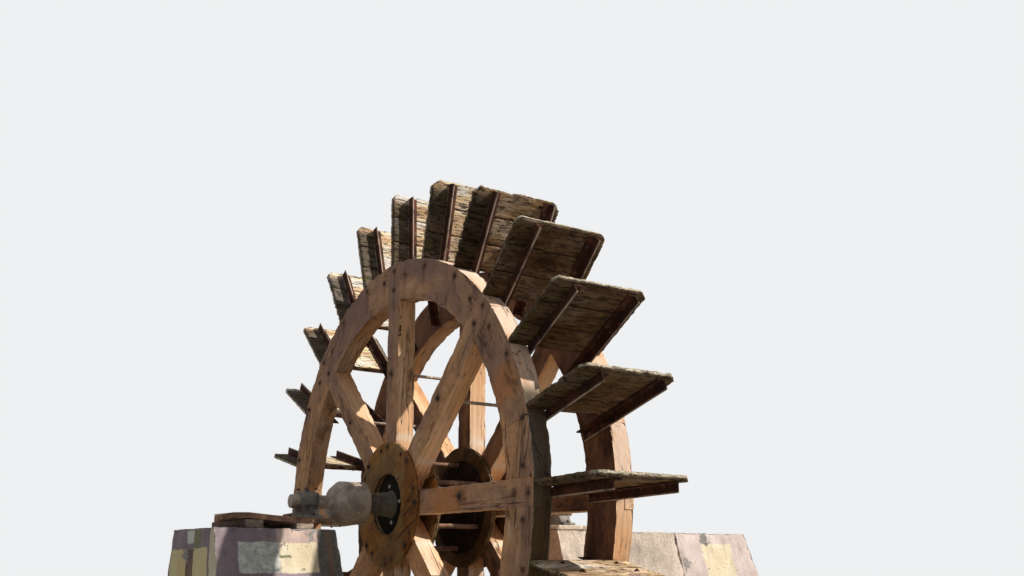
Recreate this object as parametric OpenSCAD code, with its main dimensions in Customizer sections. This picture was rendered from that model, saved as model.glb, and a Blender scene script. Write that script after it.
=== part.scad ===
// Paddle water wheel: two timber rims of lapped felloes on a steel axle,
// plank paddles held by angle irons, plummer blocks on battered concrete piers.
// Frame: Y is the axle, X lies across the wheel, Z is up, ground at Z = 0.

/* [Rims and spokes] */
// Outer radius of both timber rims
rim_outer_r = 1350; // [1000:1:1700]
// Radial depth of a rim
rim_depth = 221; // [150:1:300]
// Thickness of rims and spokes along the axle
rim_t = 104; // [70:1:140]
// Distance from the front rim's front face to the back rim's front face
rim_pitch = 470; // [380:1:700]
// Width of a spoke
spoke_w = 128; // [90:1:150]
// Number of spokes in each rim
spoke_count = 8; // [6:1:8]
// Share of the rim's thickness that a spoke's lapped end takes
lap_share = 0.5; // [0.35:0.05:0.65]
// Clearance between a spoke and the notch it is let into
spoke_gap = 0.3; // [0.2:0.1:1]
// Number of felloes in a rim
felloe_count = 8; // [6:1:8]
// Angle from a spoke to the next joint between two felloes
felloe_turn = 15; // [8:1:30]
// Open joint between two felloes
felloe_gap = 0.8; // [0.3:0.1:3]

/* [Paddles] */
// Number of paddles
paddle_count = 24; // [16:1:28]
// Turn of the first paddle from the X axis
paddle_phase = 1.7; // [0:0.1:7]
// How far a paddle board reaches beyond the rim
paddle_reach = 435; // [300:1:500]
// Thickness of a paddle board
paddle_t = 32; // [20:1:50]
// Length of a paddle board along the axle
paddle_len = 534; // [450:1:560]
// Set back of a paddle board from the front rim's front face
paddle_inset = 2; // [0:1:30]
// Cut corner at a paddle board's outer ends
paddle_chamfer = 26; // [5:1:60]
// Gap between a paddle board and the rims
paddle_gap = 0.3; // [0.2:0.1:1]

/* [Paddle brackets] */
// Leg of the angle irons
bracket_leg = 48; // [30:1:60]
// Thickness of the angle irons
bracket_t = 6; // [4:0.5:10]
// Length of an angle iron against the rim's side
bracket_tail = 195; // [120:1:215]
// Set back of an angle iron from a paddle board's outer edge
bracket_tip = 14; // [5:1:60]

/* [Tie rods] */
// Distance of the tie rods from the axle, out along each spoke
rod_at_r = 725; // [450:1:1000]
// Radius of a tie rod
rod_r = 9; // [6:0.5:14]

/* [Hub] */
// Outer radius of the timber hub discs
disc_r = 340; // [280:1:400]
// Thickness of a hub disc
disc_t = 22; // [16:1:45]
// Radius of the hole in the hub discs
disc_hole_r = 165; // [150:1:190]
// Radius of the steel boss at its narrow outer end
boss_r = 46; // [42:1:60]
// Radius of the steel boss where it meets its plate
boss_root_r = 66; // [61:1:90]
// How far a boss stands out beyond the hub discs
boss_out = 128; // [100:1:135]
// Length of the boss's coned end
boss_cone = 120; // [40:1:126]
// Thickness of the boss plate inside the hub's hole
boss_plate_t = 14; // [8:1:25]
// Depth of the boss plate behind the outer face of the rim
boss_plate_in = 6; // [0:1:40]
// Radial clearance of the boss plate in the hub's hole
boss_gap = 0.5; // [0.3:0.1:3]
// Radius of the steel flange that closes a hub on its inner side
flange_r = 262; // [240:1:300]
// Thickness of that flange
flange_t = 14; // [8:1:20]
// Number of tie bars between the two hubs
tie_count = 6; // [4:1:8]
// Radius of the circle that the tie bars stand on
tie_circle_r = 233; // [200:1:235]
// Radius of a tie bar
tie_r = 13; // [8:1:18]

/* [Axle] */
// Radius of the axle shaft
shaft_r = 36; // [28:0.5:40]
// Length of the shaft beyond each bearing
shaft_out = 47; // [20:1:150]
// Radius of the round collars on the shaft
collar_r = 113; // [80:1:130]
// Length of a collar
collar_len = 188; // [120:1:220]
// Distance from a hub disc's outer face to a collar
collar_gap = 138; // [136:1:170]
// Radius of a collar's outer end face
collar_nose_r = 76; // [60:1:78]
// Length of the cone at a collar's outer end
collar_nose = 44; // [10:1:60]
// Fillet of a collar's inner edge
collar_edge = 9; // [2:1:20]
// Radial clearance of collars, bosses and flanges on the shaft
seat_gap = 0.1; // [0.05:0.05:0.5]

/* [Bearings] */
// Height of the shaft's centre above a bearing's foot
bearing_h = 94; // [80:1:130]
// Length of a bearing's round housing along the shaft
bearing_len = 86; // [60:1:130]
// Length of a bearing's pedestal along the shaft
pedestal_len = 78; // [50:1:90]
// Width of a bearing across its bolting lugs
bearing_w = 146; // [130:1:190]
// Length of a bearing's foot along the shaft
foot_len = 88; // [60:1:110]
// Width of a bearing's foot
foot_w = 236; // [210:1:300]
// Thickness of a bearing's foot
foot_t = 20; // [14:1:30]
// Radius of the round housing
cap_r = 52; // [47:1:60]
// Thickness of the bolting lugs above and below the split
lug_t = 18; // [14:1:28]
// Height of the cap's block above the shaft's centre
cap_h = 44; // [38:1:48]
// Radius of the greasing boss on top
oil_boss_r = 13; // [8:1:18]
// Height of the greasing boss above the housing
oil_boss_h = 9; // [4:1:16]
// Radial running clearance of the shaft in its bearing
run_gap = 0.05; // [0.02:0.01:0.09]
// Distance from the front rim's face to the near bearing's centre
near_bearing_gap = 484; // [440:1:600]
// Distance from the back rim's rear face to the far bearing's centre
far_bearing_gap = 566; // [440:1:700]

/* [Piers] */
// Height of the axle above the ground
axle_h = 1911; // [1850:1:2200]
// Half width of both piers at the top
pier_half_w = 311; // [240:1:400]
// Spread of the piers' long sides for each unit of height
batter_x = 0.3; // [0:0.01:0.35]
// Length of the near pier at the top
near_len = 610; // [420:1:800]
// Spread of the near pier's wheel side for each unit of height
near_batter = 0.1; // [0:0.01:0.2]
// Gap along the axle from the front rim to the near pier's top
near_gap = 458; // [420:1:520]
// Length of the rough part of the far pier
far_len = 898; // [500:1:1200]
// Length of the painted part of the far pier at the top
far_end_len = 602; // [300:1:900]
// Spread of the far pier's outer end for each unit of height
far_batter = 0.15; // [0:0.01:0.3]
// Gap along the axle from the back rim to the far pier
far_gap = 329; // [150:1:400]

/* [Bearing supports] */
// Thickness of the packer under the channel beside the wheel
near_packer_t = 26; // [10:1:50]
// How far the channel is bowed up beyond the bearing
channel_bow = 19; // [0:1:30]
// How far the channel's outer end is bent down
channel_dip = 8; // [0:1:15]
// Height of the channel's turned down flanges
channel_h = 28; // [18:1:60]
// Thickness of the channel's steel
channel_t = 9; // [5:0.5:14]
// Width of the channel across the pier
channel_w = 540; // [300:1:600]
// Length of the channel along the pier
channel_len = 596; // [400:1:610]
// How much shorter the channel's far side is, its outer end being cut askew
channel_skew = 180; // [0:5:240]
// Thickness of the far bearing's plate
plate_t = 25; // [10:1:50]
// Length of the far bearing's plate along the shaft
plate_len = 280; // [150:1:400]
// Width of the far bearing's plate
plate_w = 380; // [240:1:600]
// Thickness of the packers under the far plate
far_packer_t = 8; // [4:1:30]
// Width of a packer
packer_w = 90; // [40:1:120]
// How far the near packers stop short of the channel's far side
packer_short = 60; // [0:5:120]
// How far the near packers stick out at the channel's lit side
packer_out = 8; // [0:1:30]

/* [Hidden] */
wheel_w = rim_pitch + rim_t;
rim_inner_r = rim_outer_r - rim_depth;
tip_r = rim_outer_r + paddle_reach;
hub_out_y = -disc_t;
hub_in_y = rim_t + disc_t;
near_pier_h = axle_h - bearing_h - channel_h - near_packer_t;
far_pier_h = axle_h - bearing_h - plate_t - far_packer_t;
near_end_y = -near_gap - near_len;
far_y0 = wheel_w + far_gap;
far_y1 = far_y0 + far_len;
far_y2 = far_y1 + far_end_len;
far_foot_y = far_y2 + far_batter * far_pier_h;
// The frame's origin lies midway between the two outer ends at the ground
mid_y = (near_end_y + far_foot_y) / 2;
near_bearing_y = -near_bearing_gap;
far_bearing_y = wheel_w + far_bearing_gap;
lap_t = rim_t * lap_share;
// How far a cutting solid reaches past what it cuts
cut_over = 20;
// Outline of the bowed channel: distance from its wheel end, height
bow = [[-1, 0], [0.2, 0], [0.5, 0.42], [0.72, 1], [0.84, 0.9],
    [0.94, 0.2], [1, -channel_dip / max(channel_bow, 1)]];
// The channel's rise at a share f of its length
function rise(f) = channel_bow * lookup(f, bow);
bow_steps = [0, 0.2, 0.5, 0.72, 0.84, 0.94, 1];
// Places of the channel's packers, as shares of its length
packer_at = [0.17, 0.6];

concrete = [0.5, 0.5, 0.46];
render_paint = [0.45, 0.38, 0.43];
rust = [0.42, 0.27, 0.22];
steel = [0.36, 0.33, 0.31];
cast = [0.3, 0.29, 0.28];
timber = [0.47, 0.36, 0.29];
hub_timber = [0.5, 0.36, 0.2];
board = [0.36, 0.31, 0.24];

// Places children in the axle's own frame: front rim's face at y = 0
module on_axle() {
    translate([0, -mid_y, axle_h])
        children();
}

// Round bar or disc along the axle from y0 to y1
module along(r, y0, y1, fn = 96) {
    translate([0, y1, 0])
        rotate([90, 0, 0])
            cylinder(r = r, h = y1 - y0, $fn = fn);
}

// Solid drawn as a profile in X and Z, running from y0 to y1
module prism_y(y0, y1) {
    translate([0, y1, 0])
        rotate([90, 0, 0])
            linear_extrude(y1 - y0)
                children();
}

// Pier from the ground up: battered on both long sides and at each end
module frustum(y0, y1, h, b0, b1, half) {
    foot = half + batter_x * h;
    len = y1 - y0;
    // the long sides slope as one wedge, the two ends cut it to length
    intersection() {
        translate([0, y1 + len + b1 * h, 0])
            rotate([90, 0, 0])
                linear_extrude(3 * len + (b0 + b1) * h)
                    polygon([[-foot, 0], [foot, 0], [half, h], [-half, h]]);
        translate([-2 * foot, 0, 0])
            rotate([90, 0, 90])
                linear_extrude(4 * foot)
                    polygon([[y0 - b0 * h, 0], [y1 + b1 * h, 0], [y1, h], [y0, h]]);
    }
}

module pier_near() {
    color(render_paint)
        translate([0, -mid_y, 0])
            frustum(near_end_y, -near_gap, near_pier_h, 0, near_batter, pier_half_w);
}

module pier_far() {
    color(concrete)
        translate([0, -mid_y, 0])
            frustum(far_y0, far_y1, far_pier_h, 0, 0, pier_half_w);
}

module pier_far_end() {
    color(render_paint)
        translate([0, -mid_y, 0])
            frustum(far_y1, far_y2, far_pier_h, 0, far_batter, pier_half_w);
}

// Bowed strip seen from the side, h high, hanging from the channel's top line
module channel_side(h) {
    polygon(concat(
        [for (f = bow_steps) [-near_gap - f * channel_len, rise(f)]],
        [for (k = [len(bow_steps) - 1:-1:0])
            [-near_gap - bow_steps[k] * channel_len, rise(bow_steps[k]) - h]]));
}

// What is cut off the channel's outer end, which isn't square
module channel_askew() {
    y = -near_gap - channel_len;
    w = channel_w / 2;
    translate([0, 0, -channel_h - cut_over])
        linear_extrude(channel_h + channel_bow + 2 * cut_over)
            polygon([[w, y], [w, y - 1], [-w - 1, y - 1],
                [-w - 1, y + channel_skew * (channel_w + 1) / channel_w]]);
}

// Rusted channel, web up and flanges down, bowed along the near pier
module bearing_channel() {
    color(rust)
        translate([0, -mid_y, axle_h - bearing_h])
            difference() {
                rotate([90, 0, 90]) {
                    translate([0, 0, -channel_w / 2])
                        linear_extrude(channel_w)
                            channel_side(channel_t);
                    for (x = [-channel_w / 2, channel_w / 2 - channel_t])
                        translate([0, 0, x])
                            linear_extrude(channel_t)
                                channel_side(channel_h);
                }
                channel_askew();
            }
}

module bearing_plate() {
    color(steel)
        translate([-plate_w / 2, -mid_y + far_bearing_y - plate_len / 2,
            axle_h - bearing_h - plate_t])
            cube([plate_w, plate_len, plate_t]);
}

// Two packers under the bowed channel and two under the far plate
module packers() {
    color(timber) {
        for (f = packer_at)
            translate([packer_short - channel_w / 2,
                -mid_y - near_gap - f * channel_len - packer_w, near_pier_h])
                cube([channel_w - packer_short + packer_out, packer_w,
                    near_packer_t + rise(f)]);
        for (s = [-1, 1])
            translate([-plate_w / 2,
                -mid_y + far_bearing_y + s * (plate_len - packer_w) / 2 - packer_w / 2,
                far_pier_h])
                cube([plate_w, packer_w, far_packer_t]);
    }
}

// Lower half of a plummer block: foot, pedestal and half the round housing
module bearing_base(y) {
    difference() {
        union() {
            prism_y(y - foot_len / 2, y + foot_len / 2)
                polygon([[-foot_w / 2, -bearing_h], [foot_w / 2, -bearing_h],
                    [foot_w / 2, foot_t * 0.7 - bearing_h],
                    [foot_w / 2 - 10, foot_t - bearing_h],
                    [10 - foot_w / 2, foot_t - bearing_h],
                    [-foot_w / 2, foot_t * 0.7 - bearing_h]]);
            prism_y(y - pedestal_len / 2, y + pedestal_len / 2)
                polygon([[-bearing_w / 2 - 12, foot_t - bearing_h - 1],
                    [bearing_w / 2 + 12, foot_t - bearing_h - 1],
                    [bearing_w / 2 - 14, -lug_t - 10],
                    [bearing_w / 2, -lug_t], [bearing_w / 2, 0],
                    [-bearing_w / 2, 0], [-bearing_w / 2, -lug_t],
                    [14 - bearing_w / 2, -lug_t - 10]]);
            intersection() {
                along(cap_r, y - bearing_len / 2, y + bearing_len / 2);
                translate([-cap_r - 1, y - bearing_len, -cap_r - 1])
                    cube([2 * cap_r + 2, 2 * bearing_len, cap_r + 1]);
            }
        }
        along(shaft_r + run_gap, y - bearing_len, y + bearing_len);
    }
}

// Upper half: round over the shaft, a lug on each side, a greasing boss
module bearing_cap(y) {
    difference() {
        union() {
            intersection() {
                along(cap_r, y - bearing_len / 2, y + bearing_len / 2);
                translate([-cap_r - 1, y - bearing_len, 0])
                    cube([2 * cap_r + 2, 2 * bearing_len, cap_r + 1]);
            }
            prism_y(y - pedestal_len / 2, y + pedestal_len / 2)
                polygon([[-bearing_w / 2, 0], [bearing_w / 2, 0],
                    [bearing_w / 2, cap_h - 9], [bearing_w / 2 - 9, cap_h],
                    [9 - bearing_w / 2, cap_h], [-bearing_w / 2, cap_h - 9]]);
            translate([0, y, shaft_r + 4])
                cylinder(r = oil_boss_r, h = cap_r + oil_boss_h - shaft_r - 4, $fn = 32);
        }
        along(shaft_r + run_gap, y - bearing_len, y + bearing_len);
    }
}

module bearing_bases() {
    color(cast)
        on_axle() {
            bearing_base(near_bearing_y);
            bearing_base(far_bearing_y);
        }
}

module bearing_caps() {
    color(cast)
        on_axle() {
            bearing_cap(near_bearing_y);
            bearing_cap(far_bearing_y);
        }
}

// One shaft from bearing to bearing, with a chamfer at each free end
module axle_shaft() {
    y0 = near_bearing_y - bearing_len / 2 - shaft_out;
    y1 = far_bearing_y + bearing_len / 2 + shaft_out;
    color(steel)
        on_axle()
            revolve([[0, y0], [shaft_r - 3, y0], [shaft_r, y0 + 3],
                [shaft_r, y1 - 3], [shaft_r - 3, y1], [0, y1]]);
}

// Turns a profile of [radius, place along the axle] round the axle
module revolve(points) {
    rotate([-90, 0, 0])
        rotate_extrude($fn = 96)
            polygon(points);
}

// Puts children at the front hub, and mirrored at the back hub
module both_hubs() {
    children();
    translate([0, wheel_w, 0])
        mirror([0, 1, 0])
            children();
}

// Round collar on the shaft: coned at the bearing's side, eased at the hub's
module axle_collars() {
    y1 = hub_out_y - collar_gap;
    y0 = y1 - collar_len;
    r0 = shaft_r + seat_gap;
    e = collar_edge;
    color(steel)
        on_axle()
            both_hubs()
                revolve([[r0, y0], [collar_nose_r, y0],
                    [collar_r, y0 + collar_nose], [collar_r, y1 - e],
                    [collar_r - 0.3 * e, y1 - 0.3 * e], [collar_r - e, y1], [r0, y1]]);
}

// Coned boss with the plate that centres the timber hub
module hub_bosses() {
    r0 = shaft_r + seat_gap;
    r1 = disc_hole_r - boss_gap;
    y0 = hub_out_y - boss_out;
    y2 = boss_plate_in;
    color(rust)
        on_axle()
            both_hubs()
                revolve([[r0, y0], [boss_r - 2, y0], [boss_r, y0 + 2],
                    [boss_root_r, y0 + boss_cone],
                    [boss_root_r, y2 - 8], [boss_root_r + 8, y2],
                    [r1, y2], [r1, y2 + boss_plate_t],
                    [boss_r + 6, y2 + boss_plate_t],
                    [boss_r + 6, hub_in_y], [r0, hub_in_y]]);
}

// Flange that closes each hub on its inner side and carries the tie bars
module hub_flanges() {
    color(rust)
        on_axle()
            both_hubs()
                revolve([[shaft_r + seat_gap, hub_in_y], [flange_r, hub_in_y],
                    [flange_r, hub_in_y + flange_t - 3],
                    [flange_r - 3, hub_in_y + flange_t],
                    [boss_r + 10, hub_in_y + flange_t],
                    [boss_r + 4, hub_in_y + flange_t + 18],
                    [shaft_r + seat_gap, hub_in_y + flange_t + 18]]);
}

// Bars along the axle that tie the two flanges together
module hub_tie_bars() {
    color(rust)
        on_axle()
            for (i = [0:tie_count - 1])
                rotate([0, (i + 0.5) * 360 / tie_count, 0])
                    translate([tie_circle_r, 0, 0])
                        along(tie_r, hub_in_y + flange_t, wheel_w - hub_in_y - flange_t, 32);
}

module hub_disc(y) {
    difference() {
        along(disc_r, y, y + disc_t);
        along(disc_hole_r, y - 1, y + disc_t + 1);
    }
}

module hub_discs_front() {
    color(hub_timber)
        on_axle() {
            hub_disc(-disc_t);
            hub_disc(rim_t);
        }
}

module hub_discs_back() {
    color(hub_timber)
        on_axle() {
            hub_disc(rim_pitch - disc_t);
            hub_disc(wheel_w);
        }
}

// Rim of felloes, notched on its outer face for the spokes' lapped ends
module rim() {
    step = 360 / felloe_count;
    difference() {
        along(rim_outer_r, 0, rim_t, 192);
        along(rim_inner_r, -1, rim_t + 1, 192);
        for (i = [0:felloe_count - 1])
            rotate([0, -i * step - felloe_turn, 0])
                translate([rim_inner_r - cut_over, -cut_over, -felloe_gap / 2])
                    cube([rim_depth + 2 * cut_over, rim_t + 2 * cut_over, felloe_gap]);
        for (i = [0:spoke_count - 1])
            rotate([0, -i * 360 / spoke_count, 0])
                translate([rim_inner_r - cut_over, -cut_over, -spoke_w / 2 - spoke_gap])
                    cube([rim_depth + 2 * cut_over, lap_t + spoke_gap + cut_over, spoke_w + 2 * spoke_gap]);
    }
}

// Spokes from the hub's hole to the rim's outer face, half lapped at the rim
module spokes() {
    half = 180 / spoke_count;
    r0 = max(disc_hole_r, spoke_w / 2 / tan(half) + 1);
    for (i = [0:spoke_count - 1])
        rotate([0, -i * 2 * half, 0])
            intersection() {
                translate([r0, 0, -spoke_w / 2])
                    cube([rim_outer_r, rim_t, spoke_w]);
                union() {
                    along(rim_inner_r - spoke_gap, -1, rim_t + 1, 192);
                    along(rim_outer_r, -1, lap_t, 192);
                }
            }
}

// Puts children on the back of the wheel, outer face to the rear
module at_back() {
    translate([0, wheel_w, 0])
        mirror([0, 1, 0])
            children();
}

module rim_front() { color(timber) on_axle() rim(); }
module rim_back() { color(timber) on_axle() at_back() rim(); }
module spokes_front() { color(timber) on_axle() spokes(); }
module spokes_back() { color(timber) on_axle() at_back() spokes(); }

// Rods that join each front spoke to the back spoke behind it
module tie_rods() {
    color(steel)
        on_axle()
            for (i = [0:spoke_count - 1])
                rotate([0, -i * 360 / spoke_count, 0])
                    translate([rod_at_r, 0, 0])
                        along(rod_r, rim_t, rim_pitch, 24);
}

// Turns children to paddle number i, counted from the X axis towards Z
module at_paddle(i) {
    rotate([0, -(paddle_phase + i * 360 / paddle_count), 0])
        children();
}

// One board, standing on both rims, with cut outer corners
module paddle(i) {
    r0 = rim_outer_r + paddle_gap;
    c = paddle_chamfer;
    y0 = paddle_inset;
    y1 = paddle_inset + paddle_len;
    color(board)
        on_axle()
            at_paddle(i)
                translate([0, 0, paddle_t / 2])
                    rotate([180, 0, 0])
                        linear_extrude(paddle_t)
                            polygon([[r0, -y0], [tip_r - c, -y0], [tip_r, -y0 - c],
                                [tip_r, c - y1], [tip_r - c, -y1], [r0, -y1]]);
}

// Angle iron: one leg on the rim's inner face, one leg under the board
module bracket(face, side) {
    r0 = rim_outer_r - bracket_tail;
    len = bracket_tail + paddle_reach - bracket_tip;
    translate([r0, face, -paddle_t / 2])
        rotate([90, 0, 90])
            linear_extrude(len)
                polygon([[0, 0], [0, -bracket_leg], [side * bracket_t, -bracket_leg],
                    [side * bracket_t, -bracket_t], [side * bracket_leg, -bracket_t],
                    [side * bracket_leg, 0]]);
}

module brackets_front() {
    color(rust)
        on_axle()
            for (i = [0:paddle_count - 1])
                at_paddle(i)
                    bracket(rim_t, 1);
}

module brackets_back() {
    color(rust)
        on_axle()
            for (i = [0:paddle_count - 1])
                at_paddle(i)
                    bracket(rim_pitch, -1);
}

pier_near();
pier_far();
pier_far_end();
bearing_channel();
bearing_plate();
packers();
bearing_bases();
bearing_caps();
axle_shaft();
axle_collars();
hub_bosses();
hub_flanges();
hub_tie_bars();
hub_discs_front();
hub_discs_back();
rim_front();
rim_back();
spokes_front();
spokes_back();
tie_rods();
brackets_front();
brackets_back();
paddle(0);  // paddle_01
paddle(1);  // paddle_02
paddle(2);  // paddle_03
paddle(3);  // paddle_04
paddle(4);  // paddle_05
paddle(5);  // paddle_06
paddle(6);  // paddle_07
paddle(7);  // paddle_08
paddle(8);  // paddle_09
paddle(9);  // paddle_10
paddle(10);  // paddle_11
paddle(11);  // paddle_12
paddle(12);  // paddle_13
paddle(13);  // paddle_14
paddle(14);  // paddle_15
paddle(15);  // paddle_16
paddle(16);  // paddle_17
paddle(17);  // paddle_18
paddle(18);  // paddle_19
paddle(19);  // paddle_20
paddle(20);  // paddle_21
paddle(21);  // paddle_22
paddle(22);  // paddle_23
paddle(23);  // paddle_24
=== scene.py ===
# %% [markdown]
# # A timber water wheel between two piers
# The wheel is an old one: two rims of thick timber on a steel axle, twenty
# four plank paddles on angle irons, and two painted concrete piers that carry
# the bearings. The solids come from the part's own model and give every size.
# This lesson dresses them: worn timber, weathered boards, bolts, rust and old
# paint, each made by a rule so that a change of one number shows everywhere.

# %% Load the model and read its main sizes
import bpy, bmesh, math
import numpy as np
from mathutils import Vector, Matrix


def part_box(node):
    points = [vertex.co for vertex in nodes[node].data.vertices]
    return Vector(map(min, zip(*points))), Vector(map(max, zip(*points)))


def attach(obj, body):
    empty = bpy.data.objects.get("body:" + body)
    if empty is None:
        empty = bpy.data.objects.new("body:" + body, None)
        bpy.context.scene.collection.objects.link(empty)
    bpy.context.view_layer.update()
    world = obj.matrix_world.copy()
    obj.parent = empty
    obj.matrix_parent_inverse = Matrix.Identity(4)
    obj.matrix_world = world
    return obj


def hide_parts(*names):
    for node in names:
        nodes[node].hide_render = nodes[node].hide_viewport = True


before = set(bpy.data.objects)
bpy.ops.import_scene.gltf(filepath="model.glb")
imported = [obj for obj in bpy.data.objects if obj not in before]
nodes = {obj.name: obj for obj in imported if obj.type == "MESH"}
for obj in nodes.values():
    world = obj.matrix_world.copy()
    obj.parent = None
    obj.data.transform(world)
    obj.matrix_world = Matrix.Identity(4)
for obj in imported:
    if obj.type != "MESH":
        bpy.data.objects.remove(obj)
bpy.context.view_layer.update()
lo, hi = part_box("rim_front")
FRONT, BACK = lo.y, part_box("rim_back")[1].y   # outer faces of the front and the back rim
RIM_T, RIM_W = hi.y - lo.y, 0.221   # a rim's thickness and width
AXLE_Z = (lo.z + hi.z) / 2
RIM_R = (hi.z - lo.z) / 2
RIM_IN = RIM_R - RIM_W
PADDLES, PHASE = 24, 1.7            # boards, and the first one's turn in degrees
TURN = 360 / PADDLES                # from one board to the next
scene = bpy.context.scene


def placed(name, data):
    """A new object of the scene, at the origin."""
    obj = bpy.data.objects.new(name, data)
    scene.collection.objects.link(obj)
    return obj


print("front face y", round(FRONT, 4), "axle height", round(AXLE_Z, 4), "rim radius", round(RIM_R, 4))

# %% [markdown]
# ## Camera
# The eye stands low, right of the near pier, and looks a little up. The turn,
# height and lens were worked out from the rims' ellipses and the paddle tips,
# so the camera is written as three directions and a place. A small vertical
# shift stands for the part of the view above the horizon that was kept.

# %% Camera
EYE = (5.10388, -3.47208, 1.61007)
right = Vector((0.56297043, 0.82647503, 0.00182428))
up = Vector((0.13669735, -0.09529064, 0.98601903))
ahead = Vector((-0.81509394, 0.55485018, 0.16662276))
cam_data = bpy.data.cameras.new("camera")
cam_data.lens, cam_data.sensor_width = 36.796, 36.0
cam_data.shift_y = 0.09375
cam_data.clip_end = 200.0
camera = placed("camera", cam_data)
camera.matrix_world = Matrix([(right[k], up[k], -ahead[k], EYE[k]) for k in range(3)] + [(0, 0, 0, 1)])
scene.camera = camera
print("lens", cam_data.lens, "mm, shift", cam_data.shift_y)

# %% [markdown]
# ## Floor and light
# A plain pale floor and a pale backdrop stand round the wheel. The floor is
# pale to the eye and darker to the light that bounces off it, so it doesn't
# brighten the undersides. One key lamp stands behind and right of the wheel.
# Its direction was found from which faces are lit and which are dark. The
# world fills the shaded faces with a little cool light.

# %% Floor, key light and world
scene.view_settings.view_transform = "Standard"
SUN_WAY, SUN_STRENGTH, SUN_ANGLE = (-0.435, -0.627, -0.646), 4.7, 0.8


def seen_rays(tree):
    """1 for rays that show a surface straight, mirrored or through glass."""
    path = tree.nodes.new("ShaderNodeLightPath")
    most = path.outputs["Is Camera Ray"]
    for name in ("Is Glossy Ray", "Is Transmission Ray"):
        pick = tree.nodes.new("ShaderNodeMath")
        pick.operation = "MAXIMUM"
        tree.links.new(most, pick.inputs[0])
        tree.links.new(path.outputs[name], pick.inputs[1])
        most = pick.outputs[0]
    return most


def two_looks(tree, kind, out_kind, *looks):
    """A first shader for light that bounces and a second for rays that show the surface."""
    tree.nodes.clear()
    blend = tree.nodes.new("ShaderNodeMixShader")
    tree.links.new(seen_rays(tree), blend.inputs[0])
    for slot, look in enumerate(looks, 1):
        shader = tree.nodes.new(kind)
        for key, value in look.items():
            shader.inputs[key].default_value = value
        tree.links.new(shader.outputs[0], blend.inputs[slot])
    tree.links.new(blend.outputs[0], tree.nodes.new(out_kind).inputs[0])


bpy.ops.mesh.primitive_plane_add(size=60, location=(0, 0, -0.002))
floor = bpy.context.object
floor.name = "floor"
floor_mat = bpy.data.materials.new("pale_floor")
floor_mat.use_nodes = True
two_looks(floor_mat.node_tree, "ShaderNodeBsdfDiffuse", "ShaderNodeOutputMaterial",
          {"Color": (0.17, 0.17, 0.14, 1)}, {"Color": (0.66, 0.66, 0.67, 1)})
floor.data.materials.append(floor_mat)

world = bpy.data.worlds.new("backdrop")
scene.world = world
world.use_nodes = True
two_looks(world.node_tree, "ShaderNodeBackground", "ShaderNodeOutputWorld",
          {"Color": (0.90, 0.94, 1.0, 1), "Strength": 0.30}, {"Color": (0.86, 0.87, 0.88, 1), "Strength": 1.0})

sun = bpy.data.lights.new("key", "SUN")
sun.energy, sun.angle, sun.color = SUN_STRENGTH, math.radians(SUN_ANGLE), (1.0, 0.95, 0.86)
placed("key", sun).rotation_euler = Vector(SUN_WAY).to_track_quat("-Z", "Y").to_euler()

# %% [markdown]
# ## Writing a node tree
# Each finish is a node tree built in code. Writing every node by hand is long,
# so one small class adds a node, sets its sockets and hands back its result.
# The geometry trees further down use the same class.

# %% The node writer
class Writer:
    """Adds nodes to self.tree. A value is a number, a tuple or another node's result."""

    def feed(self, socket, value):
        if isinstance(value, bpy.types.NodeSocket):
            self.tree.links.new(value, socket)
        elif isinstance(value, tuple) and socket.type == "RGBA" and len(value) == 3:
            socket.default_value = (*value, 1)
        else:
            socket.default_value = value

    def node(self, kind, sockets=None, **settings):
        made = self.tree.nodes.new(kind)
        for key, value in settings.items():
            setattr(made, key, value)
        for key, value in (sockets or {}).items():
            self.feed(made.inputs[key], value)
        return made

    def sum(self, how, a, b=0.0, c=0.0):
        return self.node("ShaderNodeMath", {0: a, 1: b, 2: c}, operation=how).outputs[0]

    def plus(self, a, b):
        return self.sum("ADD", a, b)

    def minus(self, a, b):
        return self.sum("SUBTRACT", a, b)

    def size(self, a):
        """A number without its sign."""
        return self.sum("ABSOLUTE", a)

    def most(self, a, b):
        return self.sum("MAXIMUM", a, b)

    def times(self, first, *others):
        """The product of several numbers or masks."""
        for other in others:
            first = self.sum("MULTIPLY", first, other)
        return first

    def band(self, value, low, high, to_low=0.0, to_high=1.0):
        """A smooth step of a value between two marks."""
        return self.node("ShaderNodeMapRange", {
            "Value": value, "From Min": low, "From Max": high, "To Min": to_low,
            "To Max": to_high}, interpolation_type="SMOOTHSTEP").outputs[0]


print("node writer ready")

# %% [markdown]
# A finish adds colours and patterns. A pattern is read from Object
# coordinates, or from a grain attribute that holds, for each point of a
# timber, its place along, across and through it.

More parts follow.
